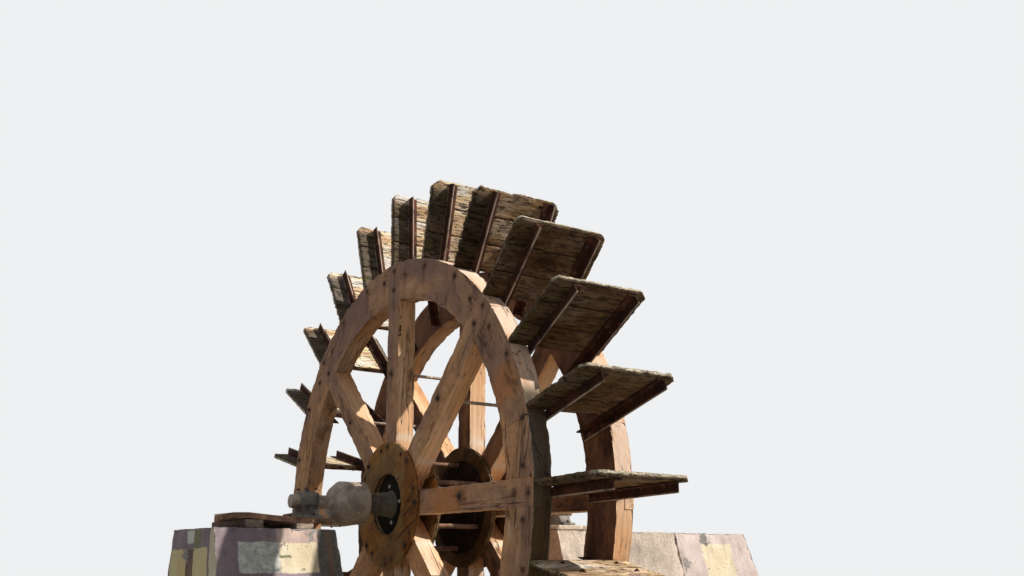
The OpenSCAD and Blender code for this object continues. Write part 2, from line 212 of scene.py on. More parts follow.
# %% The finish writer
class Finish(Writer):
    """A material built step by step. Colours are linear red, green, blue."""

    def __init__(self, name):
        self.mat = bpy.data.materials.new(name)
        self.mat.use_nodes = True
        self.tree = self.mat.node_tree
        self.tree.nodes.clear()

    def place(self, source="Object", scale=(1, 1, 1), shift=(0, 0, 0)):
        """Coordinates of the surface, scaled and shifted."""
        if source in ("Object", "Normal"):
            at = self.node("ShaderNodeTexCoord").outputs[source]
        else:
            at = self.node("ShaderNodeAttribute", attribute_name=source).outputs["Vector"]
        return self.node("ShaderNodeMapping", {"Vector": at, "Location": shift, "Scale": scale}).outputs[0]

    def noise(self, at, scale=1.0, detail=4.0, rough=0.55, twist=0.0):
        return self.node("ShaderNodeTexNoise", {
            "Vector": at, "Scale": scale, "Detail": detail, "Roughness": rough,
            "Distortion": twist}).outputs[0]

    def grained(self, stretch, detail=4.0, rough=0.55, twist=0.0, shift=(0, 0, 0)):
        """Noise drawn along, across and through a plank."""
        return self.noise(self.place("grain", stretch, shift), 1.0, detail, rough, twist)

    def cells(self, at, scale):
        return self.node("ShaderNodeTexVoronoi", {"Vector": at, "Scale": scale}).outputs["Distance"]

    def ramp(self, value, *stops):
        made = self.node("ShaderNodeValToRGB", {0: value})
        marks = made.color_ramp.elements
        while len(marks) < len(stops):
            marks.new(0.5)
        for mark, (at, colour) in zip(marks, stops):
            mark.position, mark.color = at, (*colour, 1)
        return made.outputs[0]

    def mix(self, share, a, b, how="MIX"):
        made = self.node("ShaderNodeMix", data_type="RGBA", blend_type=how)
        for socket, value in ((0, share), (6, a), (7, b)):
            self.feed(made.inputs[socket], value)
        return made.outputs[2]

    def tint(self, share, colour, by):
        """A colour multiplied by another, as far as the share says."""
        return self.mix(share, colour, by, "MULTIPLY")

    def part(self, vector, axis):
        return self.node("ShaderNodeSeparateXYZ", {0: vector}).outputs[axis]

    def gauge(self, name):
        """A number stored on the piece's own points or faces."""
        return self.node("ShaderNodeAttribute", attribute_name=name).outputs["Fac"]

    def radius(self, at):
        """Distance from the Y axis of the given coordinates."""
        return self.sum("SQRT", self.plus(*(self.sum("POWER", self.size(self.part(at, k)), 2.0) for k in (0, 2))))

    def within(self, value, low, high, soft=0.004):
        """1 between two marks, with a soft border."""
        return self.times(self.band(value, low - soft, low + soft), self.band(value, high + soft, high - soft))

    def stroke(self, x, z, ax, az, bx, bz, width, soft=0.0006):
        """1 along a line from a to b, thinning to its ends."""
        long = math.hypot(bx - ax, bz - az)
        ux, uz = (bx - ax) / long, (bz - az) / long
        dx, dz = self.minus(x, ax), self.minus(z, az)
        along = self.plus(self.times(dx, ux), self.times(dz, uz))
        off = self.size(self.minus(self.times(dx, uz), self.times(dz, ux)))
        middle = self.size(self.minus(self.sum("DIVIDE", along, long), 0.5))
        room = self.band(middle, 0.5, 0.2, 0.0, width)
        return self.band(self.minus(off, room), soft, -soft)

    def bump(self, height, depth, strength):
        return self.node("ShaderNodeBump", {"Height": height, "Distance": depth, "Strength": strength}).outputs[0]

    def done(self, colour, rough, normal, metal=0.0, shine=0.3):
        shader = self.node("ShaderNodeBsdfPrincipled", {
            "Base Color": colour, "Roughness": rough, "Metallic": metal, "Specular IOR Level": shine,
            "Normal": normal})
        self.node("ShaderNodeOutputMaterial", {0: shader.outputs[0]})
        return self.mat


print("finish writer ready")

# %% [markdown]
# ## Old timber
# The rims and spokes were painted once. Their flat faces keep a dull brown
# skin, while the narrow sides show bare orange wood. Stretched noise gives
# the grain, and the surface's own normal tells a face from a side.

# %% Figure of the wood
def wood_colour(f, face, side, faced, fine, patch):
    """Skin on the faces and bare wood on the sides, streaked, mottled and worn through in patches."""
    broad = f.grained((1.3, 5.0, 5.0), 3, 0.5)
    skin = f.ramp(broad, *zip((0.32, 0.50, 0.66), face))
    bare = f.ramp(broad, *zip((0.30, 0.50, 0.68), side))
    colour = f.mix(faced, bare, skin)
    streak = f.ramp(fine, (0.30, (0.52, 0.47, 0.43)), (0.50, (0.98, 0.97, 0.96)), (0.75, (1.25, 1.18, 1.10)))
    colour = f.tint(f.band(faced, 0, 1, 0.8, 0.5), colour, streak)
    mottle = f.ramp(f.noise(f.place(shift=(6, 1, 3)), 15, 7, 0.72),
                    (0.36, (0.60, 0.56, 0.56)), (0.50, (1, 1, 1)), (0.64, (1.18, 1.14, 1.08)))
    colour = f.tint(f.times(faced, 0.7), colour, mottle)
    return f.mix(f.band(patch, 0.56, 0.68, 0.0, 0.5), colour, bare)


# %% [markdown]
# Part of this is painted light. What faces the axle or the other rim is darkened
# as painted shade. The rim's outer surface is paler above, partly sun bleach and
# partly painted sunlight, and on the front rim it is darker below, painted shade
# with a green tint. High faces turn dull, and the spokes' sides are paler near the hub.

# %% Painted shade and light, sun bleach and dull faces
def weathered(f, colour, shade_tint, faced, patch):
    """The colour changed by where a surface lies on the wheel and which way it faces, with painted shade and painted
    sunlight among the changes.
    """
    here, way = f.place(shift=(0, -(FRONT + BACK) / 2, -AXLE_Z)), f.place("Normal")
    x_out, y_out, z_out = (f.times(f.part(here, k), f.part(way, k)) for k in (0, 1, 2))
    along, height, outward = f.part(here, 1), f.part(here, 2), f.plus(x_out, z_out)
    # painted shade: faces towards the other rim, the hub boards between the rims and faces towards the axle are
    # darkened
    inside = f.most(f.band(y_out, -0.04, -0.10), f.band(f.size(along), 0.184, 0.180))
    painted_shade = f.most(f.band(outward, -0.5, -0.9, 0.0, 0.75), inside)
    painted_shade = f.times(painted_shade, f.band(patch, 0.30, 0.55, 1.0, 0.65))
    colour = f.mix(painted_shade, colour, f.tint(1.0, colour, shade_tint))
    rim_side = f.band(outward, 0.8, 1.15)
    # paler on the upper outer surface: partly sun bleach, partly painted sunlight
    bleach_and_sunlight = f.times(rim_side, f.band(height, -0.25, 0.20), f.band(patch, 0.36, 0.56, 0.25, 0.75))
    colour = f.mix(bleach_and_sunlight, colour, (0.84, 0.66, 0.55))
    # darker and greener on the front rim's outer surface below: painted shade with a moss tint
    shade_and_moss = f.times(rim_side, f.band(height, 0.53, 0.44), f.band(along, -0.1, -0.2))
    colour = f.mix(shade_and_moss, colour, f.tint(1.0, colour, (0.17, 0.19, 0.19)))
    dull = f.times(faced, f.band(height, 0.5, 1.1), f.band(patch, 0.36, 0.60, 0.5, 0.3))
    colour = f.mix(dull, colour, (0.34, 0.215, 0.190))
    # the spokes' sides are paler near the hub
    foot = f.times(f.band(faced, 1.0, 0.0), f.within(f.radius(here), 0.35, 0.39, 0.02),
                   f.band(patch, 0.36, 0.56, 0.25, 0.70))
    return f.mix(foot, colour, (0.88, 0.78, 0.66))


def front_only(f):
    """1 on the outer face of the front rim and on its hub board."""
    return f.band(f.part(f.place(), 1), FRONT + 0.02, FRONT + 0.012)


def orange_spots(f, colour, spots, patch):
    """Orange where paint has gone from the front face. spots: x, z and reach in metres."""
    for x, z, reach in spots:
        far = f.plus(f.radius(f.place(shift=(-x, 0, -z))), f.times(patch, 0.12))
        spot = f.times(f.band(far, reach + 0.06, 0.4 * reach + 0.06), front_only(f), 0.62)
        colour = f.mix(spot, colour, (0.72, 0.28, 0.09))
    return colour


# %% [markdown]
# Thin ridges of noise give the long cracks, and fine stretched noise the
# specks and short checks. The front face has its own list of cracks besides.
# Dirt, the stains below the bolts and the rubbed edges come last.

# %% Cracks and the finished timber
def splits(f, share, lines):
    """How dark the cracks, specks and checks are, and the listed lines of the front face."""
    ridge = f.size(f.minus(f.grained((1.1, 14, 14), 4, 0.55, 0.6, (3, 5, 2)), 0.5))
    where = f.band(f.grained((1.9, 5, 5), 2, shift=(11, 0, 5)), 0.50, 0.60)
    crack = f.times(f.band(ridge, 0.018, 0.004), where, share)
    zone = f.band(f.grained((1.6, 3.4, 3.4), 3, shift=(8, 2, 9)), 0.44, 0.60)
    speck = f.times(zone, f.band(f.grained((15, 70, 70), 4, 0.6, shift=(2, 9, 4)), 0.64, 0.69))
    check = f.band(f.noise(f.place("Object", (60, 60, 15), (2, 9, 4)), 1.0, 4, 0.6), 0.66, 0.71)
    check = f.times(f.band(zone, 0.6, 0.2), check)
    dark = f.most(crack, f.times(f.most(speck, check), 0.70))
    if lines:
        here, front = f.place(), front_only(f)
        shake = f.times(f.minus(f.noise(here, 22, 4, 0.6), 0.5), 0.030)
        x, z = f.plus(f.part(here, 0), shake), f.minus(f.part(here, 2), shake)
        for line in lines:
            dark = f.most(dark, f.times(front, f.stroke(x, z, *line)))
    return dark


def timber(name, face, side, share=0.7, shade_tint=None, cracks=(), spots=(), burnt=None):
    """Weathered wood. face and side: three colours each, from dull to fresh. share: how dark its cracks are."""
    f = Finish(name)
    fine = f.grained((2.4, 60, 60), 6, 0.64, 0.4)
    patch = f.grained((4.0, 10.0, 10.0), 6, 0.62, shift=(7, 3, 1))
    faced = f.band(f.size(f.part(f.place("Normal"), 1)), 0.55, 0.85)
    colour = wood_colour(f, face, side, faced, fine, patch)
    # this tint darkens the wood as painted shade between the rims and on inward faces
    if shade_tint:
        colour = weathered(f, colour, shade_tint, faced, patch)
    colour = orange_spots(f, colour, spots, patch)
    if burnt:                        # a band down the right of the front hub board
        right = f.band(f.plus(f.part(f.place(), 0), f.times(patch, 0.10)), 0.22, 0.27)
        colour = f.mix(f.times(right, front_only(f), 0.75), colour, burnt)
    colour = f.mix(f.band(patch, 0.44, 0.30, 0.0, 0.65), colour, (0.11, 0.066, 0.048))
    dark = splits(f, share, cracks)
    colour = f.mix(dark, colour, (0.045, 0.028, 0.017))
    stain = f.times(f.gauge("stain"), f.band(patch, 0.30, 0.55, 0.35, 0.9))
    colour = f.mix(stain, colour, (0.055, 0.030, 0.020))
    rubbed = f.times(f.band(f.gauge("edge"), 0.70, 0.95), f.band(patch, 0.44, 0.60), 0.45)
    colour = f.mix(rubbed, colour, side[2])
    height = f.minus(f.times(fine, 0.55), f.times(dark, 1.3))
    return f.done(colour, f.band(fine, 0.2, 0.8, 0.78, 0.95), f.bump(height, 0.006, 0.9), shine=0.12)


# Long cracks of the front faces, each from one place to another with half its width, in metres.
FRONT_CRACKS = (
    (1.126, 2.254, 1.123, 2.148, 0.0026), (1.123, 2.148, 1.165, 2.020, 0.0035),
    (1.131, 2.600, 1.118, 2.522, 0.0019), (0.317, 3.214, 0.323, 3.061, 0.0021),
    (0.642, 3.083, 0.643, 3.016, 0.0019), (0.575, 2.979, 0.577, 2.896, 0.0021),
    (-0.003, 3.269, 0.010, 3.050, 0.0013), (-0.366, 3.129, -0.376, 3.053, 0.0016),
    (0.979, 2.805, 0.910, 2.696, 0.0021), (0.910, 2.696, 0.921, 2.587, 0.0016),
    (1.015, 2.696, 0.990, 2.633, 0.0019), (0.717, 1.943, 0.718, 1.899, 0.0014),
    (0.329, 2.475, 0.392, 2.520, 0.0014), (0.059, 2.984, 0.065, 2.787, 0.0013),
    (1.207, 1.881, 1.201, 1.700, 0.0016), (1.243, 2.264, 1.252, 2.204, 0.0016),
    (-0.817, 2.625, -0.886, 2.527, 0.0014))
BARE_SPOTS = ((1.11, 2.42, 0.13), (1.13, 2.10, 0.05), (0.60, 1.92, 0.22))   # x, z and reach
rim_timber = timber("old_rim_timber", ((0.37, 0.215, 0.170), (0.56, 0.320, 0.205), (0.78, 0.420, 0.215)),
                    ((0.68, 0.36, 0.18), (0.88, 0.54, 0.31), (0.94, 0.70, 0.50)),
                    shade_tint=(0.17, 0.13, 0.11), cracks=FRONT_CRACKS, spots=BARE_SPOTS)
hub_timber = timber("hub_board", ((0.22, 0.12, 0.045), (0.36, 0.21, 0.09), (0.44, 0.20, 0.055)),
                    ((0.38, 0.19, 0.06), (0.50, 0.30, 0.14), (0.56, 0.36, 0.18)), 0.8,
                    shade_tint=(0.11, 0.09, 0.08), burnt=(0.30, 0.105, 0.022))
packer_timber = timber("packer_wood", ((0.20, 0.14, 0.10), (0.28, 0.20, 0.15), (0.36, 0.28, 0.22)),
                       ((0.24, 0.17, 0.12), (0.36, 0.28, 0.21), (0.48, 0.40, 0.32)), 0.8)
print("timber finishes", [m.name for m in (rim_timber, hub_timber, packer_timber)])

# %% [markdown]
# ## Paddle boards
# The boards have never been painted. Sun and water have raised the grain into
# scales with black pits between them. Each paddle has a tone of its own, partly
# chance weathering and partly painted light: pale for the boards in the sun at
# the top, nearly black for the shaded ones. Between an iron and the board's end
# the iron side is darkened, a painted shadow of the iron. A pale crust sits only
# on the thin outer edges, which a face value marks.

# %% Board finish
def crusted(f, colour):
    """A pale crust on the upper part of the outer edges, with a ragged border."""
    rag = f.noise(f.place(), 42, 4, 0.6)
    outer = f.gauge("outer")
    depth = f.part(f.node("ShaderNodeAttribute", attribute_name="grain").outputs["Vector"], 2)
    upper = f.band(f.plus(depth, f.times(f.minus(rag, 0.5), 0.022)), -0.001, 0.005)
    edge = f.times(f.band(f.gauge("thin_edge"), 0.4, 0.6), f.band(f.plus(outer, f.times(rag, 1.2)), 0.95, 1.25))
    lip = f.band(f.plus(outer, f.times(rag, 0.45)), 1.17, 1.22)
    crust = f.times(f.most(f.times(edge, upper), f.times(lip, upper)), 0.9)
    pale = f.ramp(f.noise(f.place(), 75, 3),
                  (0.36, (0.34, 0.29, 0.20)), (0.50, (0.66, 0.58, 0.43)), (0.66, (0.82, 0.75, 0.60)))
    return f.mix(crust, colour, pale)


def board_finish():
    f = Finish("weathered_board")
    fine = f.grained((3.0, 85, 85), 6, 0.66, 0.3)
    broad = f.grained((3.0, 9, 9), 5, 0.6)
    patch = f.grained((9, 22, 22), 5, 0.6, shift=(4, 1, 6))
    scales = f.grained((17, 74, 74), 4, 0.6, 0.7, (3, 5, 2))
    colour = f.ramp(broad, (0.32, (0.29, 0.185, 0.115)), (0.44, (0.53, 0.37, 0.22)),
                    (0.56, (0.72, 0.55, 0.40)), (0.68, (0.86, 0.75, 0.66)))
    colour = f.tint(0.75, colour, f.ramp(
        patch, (0.34, (0.62, 0.52, 0.48)), (0.50, (1, 0.97, 0.95)), (0.66, (1.2, 1.10, 0.80))))
    colour = f.tint(0.7, colour, f.ramp(
        fine, (0.30, (0.50, 0.45, 0.42)), (0.52, (1, 1, 1)), (0.76, (1.3, 1.25, 1.2))))
    pits = f.times(f.band(scales, 0.45, 0.39), f.band(patch, 0.36, 0.52, 0.35, 1.0))
    tone = f.gauge("tone")
    colour = f.mix(f.times(pits, f.band(tone, 0.0, 0.5, 0.55, 0.92)), colour, (0.030, 0.019, 0.012))
    # painted shadow of the iron, on the iron side between the iron and the board's end
    iron_shadow_share = f.times(f.gauge("sheltered"), f.band(patch, 0.30, 0.50, 0.70, 0.92), f.band(tone, 0.1, 0.4, 0.3, 1.0))
    colour = f.mix(iron_shadow_share, colour, (0.040, 0.030, 0.021))
    colour = f.mix(f.band(f.gauge("joint"), 0.55, 0.95, 0.0, 0.7), colour, (0.025, 0.016, 0.011))
    # the tone, partly painted light: it lifts the sunlit boards and darkens the shaded ones
    colour = f.tint(1.0, colour, f.ramp(
        tone, (0.0, (0.20, 0.165, 0.155)), (0.5, (0.84, 0.80, 0.74)), (1.0, (1.75, 1.90, 2.10))))
    colour = f.mix(1.0, colour, (0.90, 0.84, 0.76), "DARKEN")
    moss = f.band(f.noise(f.place(shift=(4, 1, 2)), 13, 5, 0.65), 0.60, 0.66, 0.0, 0.55)
    colour = crusted(f, f.mix(moss, colour, (0.17, 0.15, 0.035)))
    height = f.minus(f.times(f.plus(fine, scales), 0.6), f.times(pits, 1.1))
    return f.done(colour, 0.9, f.bump(height, 0.012, 1.0), shine=0.1)


paddle_timber = board_finish()
print("board finish", paddle_timber.name)

# %% [markdown]
# ## Iron and steel
# Rust is never one brown: dark scale, orange bloom and pale scratched patches
# sit in one another. Grey steel is the same tree with other colours. The plate
# round each boss and the flange inside each hub ring are nearly black, painted
# shade in the hub's hollow. Each angle iron has one pale edge, partly rubbed
# wear and partly a painted highlight.

# %% Metal finishes
def metal(name, dark, middle, bloom, share, metallic=0.35, rough=(0.55, 0.85), grain=26, shine=0.3,
          rubbed=None, hole_shade=None):
    """Rust or weathered steel. The last argument gives two distances from the axle between which it goes nearly
    black, as painted shade in the hub's hollow.
    """
    f = Finish(name)
    here = f.place()
    blotch = f.noise(here, 9, 6, 0.62, 0.6)
    pit = f.noise(here, grain * 5, 4, 0.65)
    colour = f.ramp(blotch, (0.34, dark), (0.52, middle), (0.70, bloom))
    scale = f.band(f.noise(f.place(shift=(3, 8, 1)), grain, 5, 0.6), share, share + 0.09)
    colour = f.mix(scale, colour, bloom)
    colour = f.tint(0.5, colour, f.ramp(pit, (0.3, (0.55, 0.52, 0.5)), (0.6, (1.1, 1.08, 1.05))))
    # a pale line along the free edge: partly wear, partly a painted highlight
    if rubbed:
        bright = f.times(f.band(f.gauge("edge"), 0.82, 0.96), f.band(blotch, 0.40, 0.55, 0.35, 1.0))
        colour = f.mix(bright, colour, rubbed)
    if hole_shade:
        out = f.radius(f.place(shift=(0, 0, -AXLE_Z)))
        colour = f.mix(f.band(out, *hole_shade, 0.0, 0.94), colour, (0.009, 0.006, 0.004))
    normal = f.bump(f.plus(pit, f.times(scale, 1.4)), 0.0025, 0.7)
    return f.done(colour, f.band(pit, 0.25, 0.75, *rough), normal, metallic, shine)


rusty_iron = metal("rusty_iron", (0.10, 0.058, 0.040), (0.27, 0.150, 0.098), (0.50, 0.30, 0.185), 0.57)
# its pale free edge is partly wear and partly a painted highlight
angle_iron = metal("angle_iron", (0.030, 0.016, 0.012), (0.080, 0.034, 0.024), (0.20, 0.075, 0.045), 0.60, 0.0,
                   (0.8, 0.95), shine=0.1, rubbed=(0.60, 0.47, 0.37))
# the boss's plate goes nearly black away from the axle: painted shade in the hub's hollow
boss_iron = metal("boss_iron", (0.10, 0.085, 0.07), (0.21, 0.185, 0.15), (0.32, 0.29, 0.24), 0.58, 0.05,
                  (0.8, 0.98), shine=0.05, hole_shade=(0.066, 0.082))
# nearly black iron: painted shade inside the hub's hollow
flange_iron_painted_shade = metal("flange_iron_painted_shade", (0.014, 0.008, 0.005), (0.028, 0.015, 0.009), (0.06, 0.032, 0.018), 0.66, 0.0,
                    (0.9, 1.0), shine=0.05)
grey_iron = metal("grey_iron", (0.25, 0.20, 0.17), (0.43, 0.35, 0.29), (0.62, 0.53, 0.45), 0.60, 0.15,
                  (0.55, 0.8), 12)
bearing_iron = metal("bearing_iron", (0.085, 0.080, 0.070), (0.28, 0.27, 0.24), (0.42, 0.36, 0.29), 0.60, 0.1,
                     (0.7, 0.9), 34, 0.15)
pale_plate = metal("pale_plate", (0.34, 0.26, 0.19), (0.66, 0.56, 0.46), (0.82, 0.74, 0.62), 0.50, 0.0)
bolt_iron = metal("bolt_iron", (0.05, 0.028, 0.020), (0.12, 0.065, 0.040), (0.26, 0.14, 0.08), 0.60)
bright_bolt = metal("bright_bolt", (0.30, 0.27, 0.24), (0.60, 0.56, 0.50), (0.80, 0.76, 0.70), 0.55, 0.2, (0.4, 0.6))
print("metal finishes", [m.name for m in bpy.data.materials if "iron" in m.name or "bolt" in m.name])

# %% [markdown]
# ## Concrete and paint
# The piers are cast concrete. The near one and the far end are painted with a
# mauve or pink ground round pale panels, which flakes off in places. The
# middle is left rough.

# %% Concrete and paint
def rough_grey(f, tint=(1.0, 1.0, 1.0)):
    """Bare cast concrete: grey body, pores, pale grit and damp streaks."""
    here = f.place()
    body = f.noise(here, 3.2, 8, 0.62, 0.3)
    grit = f.noise(here, 70, 4, 0.7)
    pores = f.times(f.band(f.cells(here, 34), 0.16, 0.05), f.band(f.noise(here, 7, 2), 0.48, 0.6))
    greys = ((0.24, 0.23, 0.21), (0.40, 0.385, 0.36), (0.54, 0.52, 0.48))
    shades = [tuple(c * k for c, k in zip(grey, tint)) for grey in greys]
    colour = f.ramp(body, *zip((0.30, 0.52, 0.72), shades))
    colour = f.tint(0.6, colour, f.ramp(
        grit, (0.32, (0.55, 0.55, 0.55)), (0.6, (1.05, 1.04, 1.0)), (0.74, (1.6, 1.6, 1.55))))
    streak = f.noise(f.place("Object", (9, 9, 0.8)), 1.0, 4, 0.6)
    colour = f.mix(f.band(streak, 0.52, 0.68, 0, 0.35), colour, (0.15, 0.14, 0.12))
    colour = f.mix(f.times(pores, 0.75), colour, (0.07, 0.065, 0.06))
    return colour, f.minus(f.plus(f.times(body, 1.2), f.times(grit, 0.5)), pores)


def bare_concrete():
    f = Finish("bare_concrete")
    colour, height = rough_grey(f, (1.85, 1.62, 1.50))
    return f.done(colour, 0.93, f.bump(height, 0.010, 0.8), shine=0.2)


# the lighter mauve is the near pier's mauve painted lighter where the sun falls through the wheel: painted sunlight
PAINTS = {                           # two linear colours each, from dull to clean
    "mauve": ((0.25, 0.190, 0.215), (0.41, 0.32, 0.355)), "pink": ((0.50, 0.37, 0.33), (0.70, 0.53, 0.46)),
    "far_pink": ((0.60, 0.48, 0.45), (0.80, 0.68, 0.64)), "cream": ((0.78, 0.64, 0.44), (0.92, 0.82, 0.62)),
    "yellow": ((0.86, 0.66, 0.32), (0.95, 0.82, 0.50)), "white": ((0.70, 0.66, 0.62), (0.88, 0.85, 0.80)),
    "green": ((0.16, 0.17, 0.10), (0.28, 0.28, 0.16)), "brown": ((0.16, 0.10, 0.075), (0.27, 0.18, 0.13)),
    "grey": ((0.085, 0.079, 0.071), (0.235, 0.22, 0.195)), "scraped": ((0.38, 0.38, 0.35), (0.94, 0.94, 0.88))}
SCRAPED = ("grey", "scraped")        # paints with a fine, hard pattern


def painted_pier(name, ground, areas, flakes=0.60):
    """Painted render. areas: the face's axis, two ends across it and two heights in metres, and a paint."""
    f = Finish(name)
    bare, height = rough_grey(f)
    here, normal = f.place(), f.place("Normal")
    wave = f.times(f.minus(f.noise(here, 13, 5, 0.65), 0.5), 0.030)
    cloud = f.noise(here, 6, 7, 0.65)
    scrape = f.noise(f.place("Object", (30, 30, 40)), 1.0, 8, 0.80)

    def coat(key):
        return f.ramp(scrape if key in SCRAPED else cloud, *zip((0.36, 0.64), PAINTS[key]))

    colour = coat(ground)
    y, x, z = (f.plus(f.part(here, k), wave) for k in (1, 0, 2))
    facing = [f.band(f.size(f.part(normal, k)), 0.55, 0.7) for k in (0, 1)]
    for axis, low, high, bottom, top, key in areas:
        panel = f.times(f.within(x if axis else y, low, high), f.within(z, bottom, top), facing[axis])
        colour = f.mix(panel, colour, coat(key))
    flaked = f.band(f.noise(f.place(shift=(5, 2, 7)), 7, 8, 0.68, 0.4), flakes, flakes + 0.012)
    colour = f.mix(flaked, colour, bare)
    dirt = f.band(f.noise(f.place("Object", (10, 10, 0.9), (1, 4, 2)), 1.0, 4, 0.6), 0.52, 0.74, 0, 0.45)
    colour = f.mix(dirt, colour, (0.15, 0.115, 0.10))
    chip = f.times(f.band(f.gauge("edge"), 0.55, 0.85), f.band(f.noise(here, 24, 4, 0.6), 0.50, 0.56), 0.7)
    colour = f.mix(chip, colour, (0.42, 0.40, 0.37))
    skin = f.plus(height, f.times(flaked, -0.9))
    return f.done(colour, 0.88, f.bump(skin, 0.007, 0.8), shine=0.25)


bare_pier = bare_concrete()
print("concrete ready")

# %% [markdown]
# ## Planks as gridded blocks
# To age a timber it needs an even skin that can be worn down, with close rows
# of points along its corners so that they stay crisp. A block of grid squares
# is bent to each timber's place: round the axle for a felloe or a hub board,
# outwards for a spoke, and tapered for a pier.

# %% Blocks
HUB = np.array([0.0, 0.0, AXLE_Z])


def marks(low, high, step, rim=(0.0, 0.002, 0.006, 0.014)):
    """Places along an edge: close at both ends, even between."""
    rim = np.array(rim)
    count = max(2, round((high - low - 2 * rim[-1]) / step) + 1)
    inner = np.linspace(low + rim[-1], high - rim[-1], count)[1:-1]
    return np.concatenate([low + rim, inner, (high - rim)[::-1]])


def block(*axes):
    """The skin of a box: its points at the given marks on three axes, and its squares facing out."""
    index, squares = {}, []
    count = [len(axis) for axis in axes]
    for flat in range(3):
        u, v = (flat + 1) % 3, (flat + 2) % 3
        for end in (0, count[flat] - 1):
            for i in range(count[u] - 1):
                for j in range(count[v] - 1):
                    four = []
                    for du, dv in ((0, 0), (1, 0), (1, 1), (0, 1)):
                        key = [0, 0, 0]
                        key[flat], key[u], key[v] = end, i + du, j + dv
                        four.append(index.setdefault(tuple(key), len(index)))
                    squares.append(four if end else four[::-1])
    keys = np.array(list(index))
    return np.column_stack([np.asarray(axes[k])[keys[:, k]] for k in range(3)]), np.array(squares)


def loose_boxes(node_name):
    """Lowest and highest corners of each closed solid of a node, by its place along the axle."""
    shell = bmesh.new()
    shell.from_mesh(nodes[node_name].data)
    bmesh.ops.remove_doubles(shell, verts=shell.verts, dist=1e-5)
    left, found = set(shell.verts), []
    while left:
        group, front = [], [left.pop()]
        while front:
            here = front.pop()
            group.append(here.co[:])
            for e in here.link_edges:
                there = e.other_vert(here)
                if there in left:
                    left.discard(there)
                    front.append(there)
        found.append((np.min(group, 0), np.max(group, 0)))
    shell.free()
    return sorted(found, key=lambda box: tuple(box[0].round(4))[1::-1])


sample, squares = block(marks(0, 1, 0.02), marks(0, 0.2, 0.02), marks(0, 0.1, 0.02))
print("a sample block has", len(sample), "points and", len(squares), "squares")

# %% [markdown]
# The skins of a piece are joined into one mesh, and each point keeps its own
# values. A finished piece then says which body it rides on and which node it
# stands for.

# %% Joining and settling
def give(mesh, key, values):
    """Stores a number or a vector for each point of a mesh."""
    values = np.asarray(values, float)
    kind, field = ("FLOAT_VECTOR", "vector") if values.ndim == 2 else ("FLOAT", "value")
    mesh.attributes.new(key, kind, "POINT").data.foreach_set(field, values.ravel())


def joined(name, skins, values):
    """One object of several skins, with a value or vector for each point."""
    mesh = bpy.data.meshes.new(name)
    spots, squares, start = [], [], 0
    for points, loops in skins:
        spots.append(points)
        squares.append(loops + start)
        start += len(points)
    mesh.from_pydata(np.concatenate(spots).tolist(), [], np.concatenate(squares).tolist())
    for key, parts in values.items():
        give(mesh, key, np.concatenate(parts))
    mesh.polygons.foreach_set("use_smooth", np.ones(len(mesh.polygons), bool))
    return placed(name, mesh)


def settle(obj, body, slot, *stands_for):
    """Says which body a finished piece rides on, and the nodes it stands for. slot is not used."""
    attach(obj, body)
    if stands_for:
        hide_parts(*stands_for)


print("pieces are joined and settled by three helpers")

# %% [markdown]
# ## A geometry tree in code
# Geometry Nodes will wear the timber, build the paddle boards and set the
# bolts. As with the finishes, a small class keeps each tree short: named
# inputs, one node a line, and an end that realizes instances and gives the
# finish. The result is read back as a plain mesh and the modifier goes.

# %% The geometry tree writer
class Tree(Writer):
    """A Geometry Nodes tree with named number inputs."""

    def __init__(self, name, **inputs):
        self.tree = bpy.data.node_groups.new(name, "GeometryNodeTree")
        face = self.tree.interface
        face.new_socket("Geometry", in_out="OUTPUT", socket_type="NodeSocketGeometry")
        face.new_socket("Geometry", in_out="INPUT", socket_type="NodeSocketGeometry")
        for key, value in inputs.items():
            kind = "NodeSocketInt" if isinstance(value, int) else "NodeSocketFloat"
            face.new_socket(key, in_out="INPUT", socket_type=kind).default_value = value
        self.start = self.tree.nodes.new("NodeGroupInput")

    def __getitem__(self, key):
        return self.start.outputs[key]

    def one(self, kind, sockets=None, **settings):
        """The first result of a new node."""
        return self.node(kind, sockets, **settings).outputs[0]

    def stretched(self, vector, by):
        return self.one("ShaderNodeVectorMath", {0: vector, 1: by}, operation="MULTIPLY")

    def xyz(self, x=0.0, y=0.0, z=0.0):
        return self.one("ShaderNodeCombineXYZ", {0: x, 1: y, 2: z})

    def split(self, vector):
        return self.node("ShaderNodeSeparateXYZ", {0: vector}).outputs

    def noise(self, at, seed, detail=3.0, rough=0.5):
        return self.one("ShaderNodeTexNoise", {
            "Vector": at, "W": seed, "Scale": 1.0, "Detail": detail, "Roughness": rough}, noise_dimensions="4D")

    def named(self, key, kind="FLOAT"):
        return self.node("GeometryNodeInputNamedAttribute", {"Name": key}, data_type=kind).outputs["Attribute"]

    def store(self, geometry, key, value, kind="FLOAT", domain="POINT"):
        return self.one("GeometryNodeStoreNamedAttribute", {
            "Geometry": geometry, "Name": key, "Value": value}, data_type=kind, domain=domain)

    def end(self, geometry, mat):
        real = self.one("GeometryNodeRealizeInstances", {0: geometry})
        self.node("NodeGroupOutput", {0: self.one("GeometryNodeSetMaterial", {"Geometry": real, "Material": mat})})
        return self

    def grow(self, obj, name, **values):
        """Runs the tree on an object and returns the result as a plain mesh."""
        run = obj.modifiers.new("grow", "NODES")
        run.node_group = self.tree
        for item in self.tree.interface.items_tree:
            if item.in_out == "INPUT" and item.name in values:
                run[item.identifier] = values[item.name]
        grown = bpy.data.meshes.new_from_object(obj.evaluated_get(bpy.context.evaluated_depsgraph_get()))
        obj.modifiers.remove(run)
        grown.name = name
        return grown


print("geometry tree writer ready")

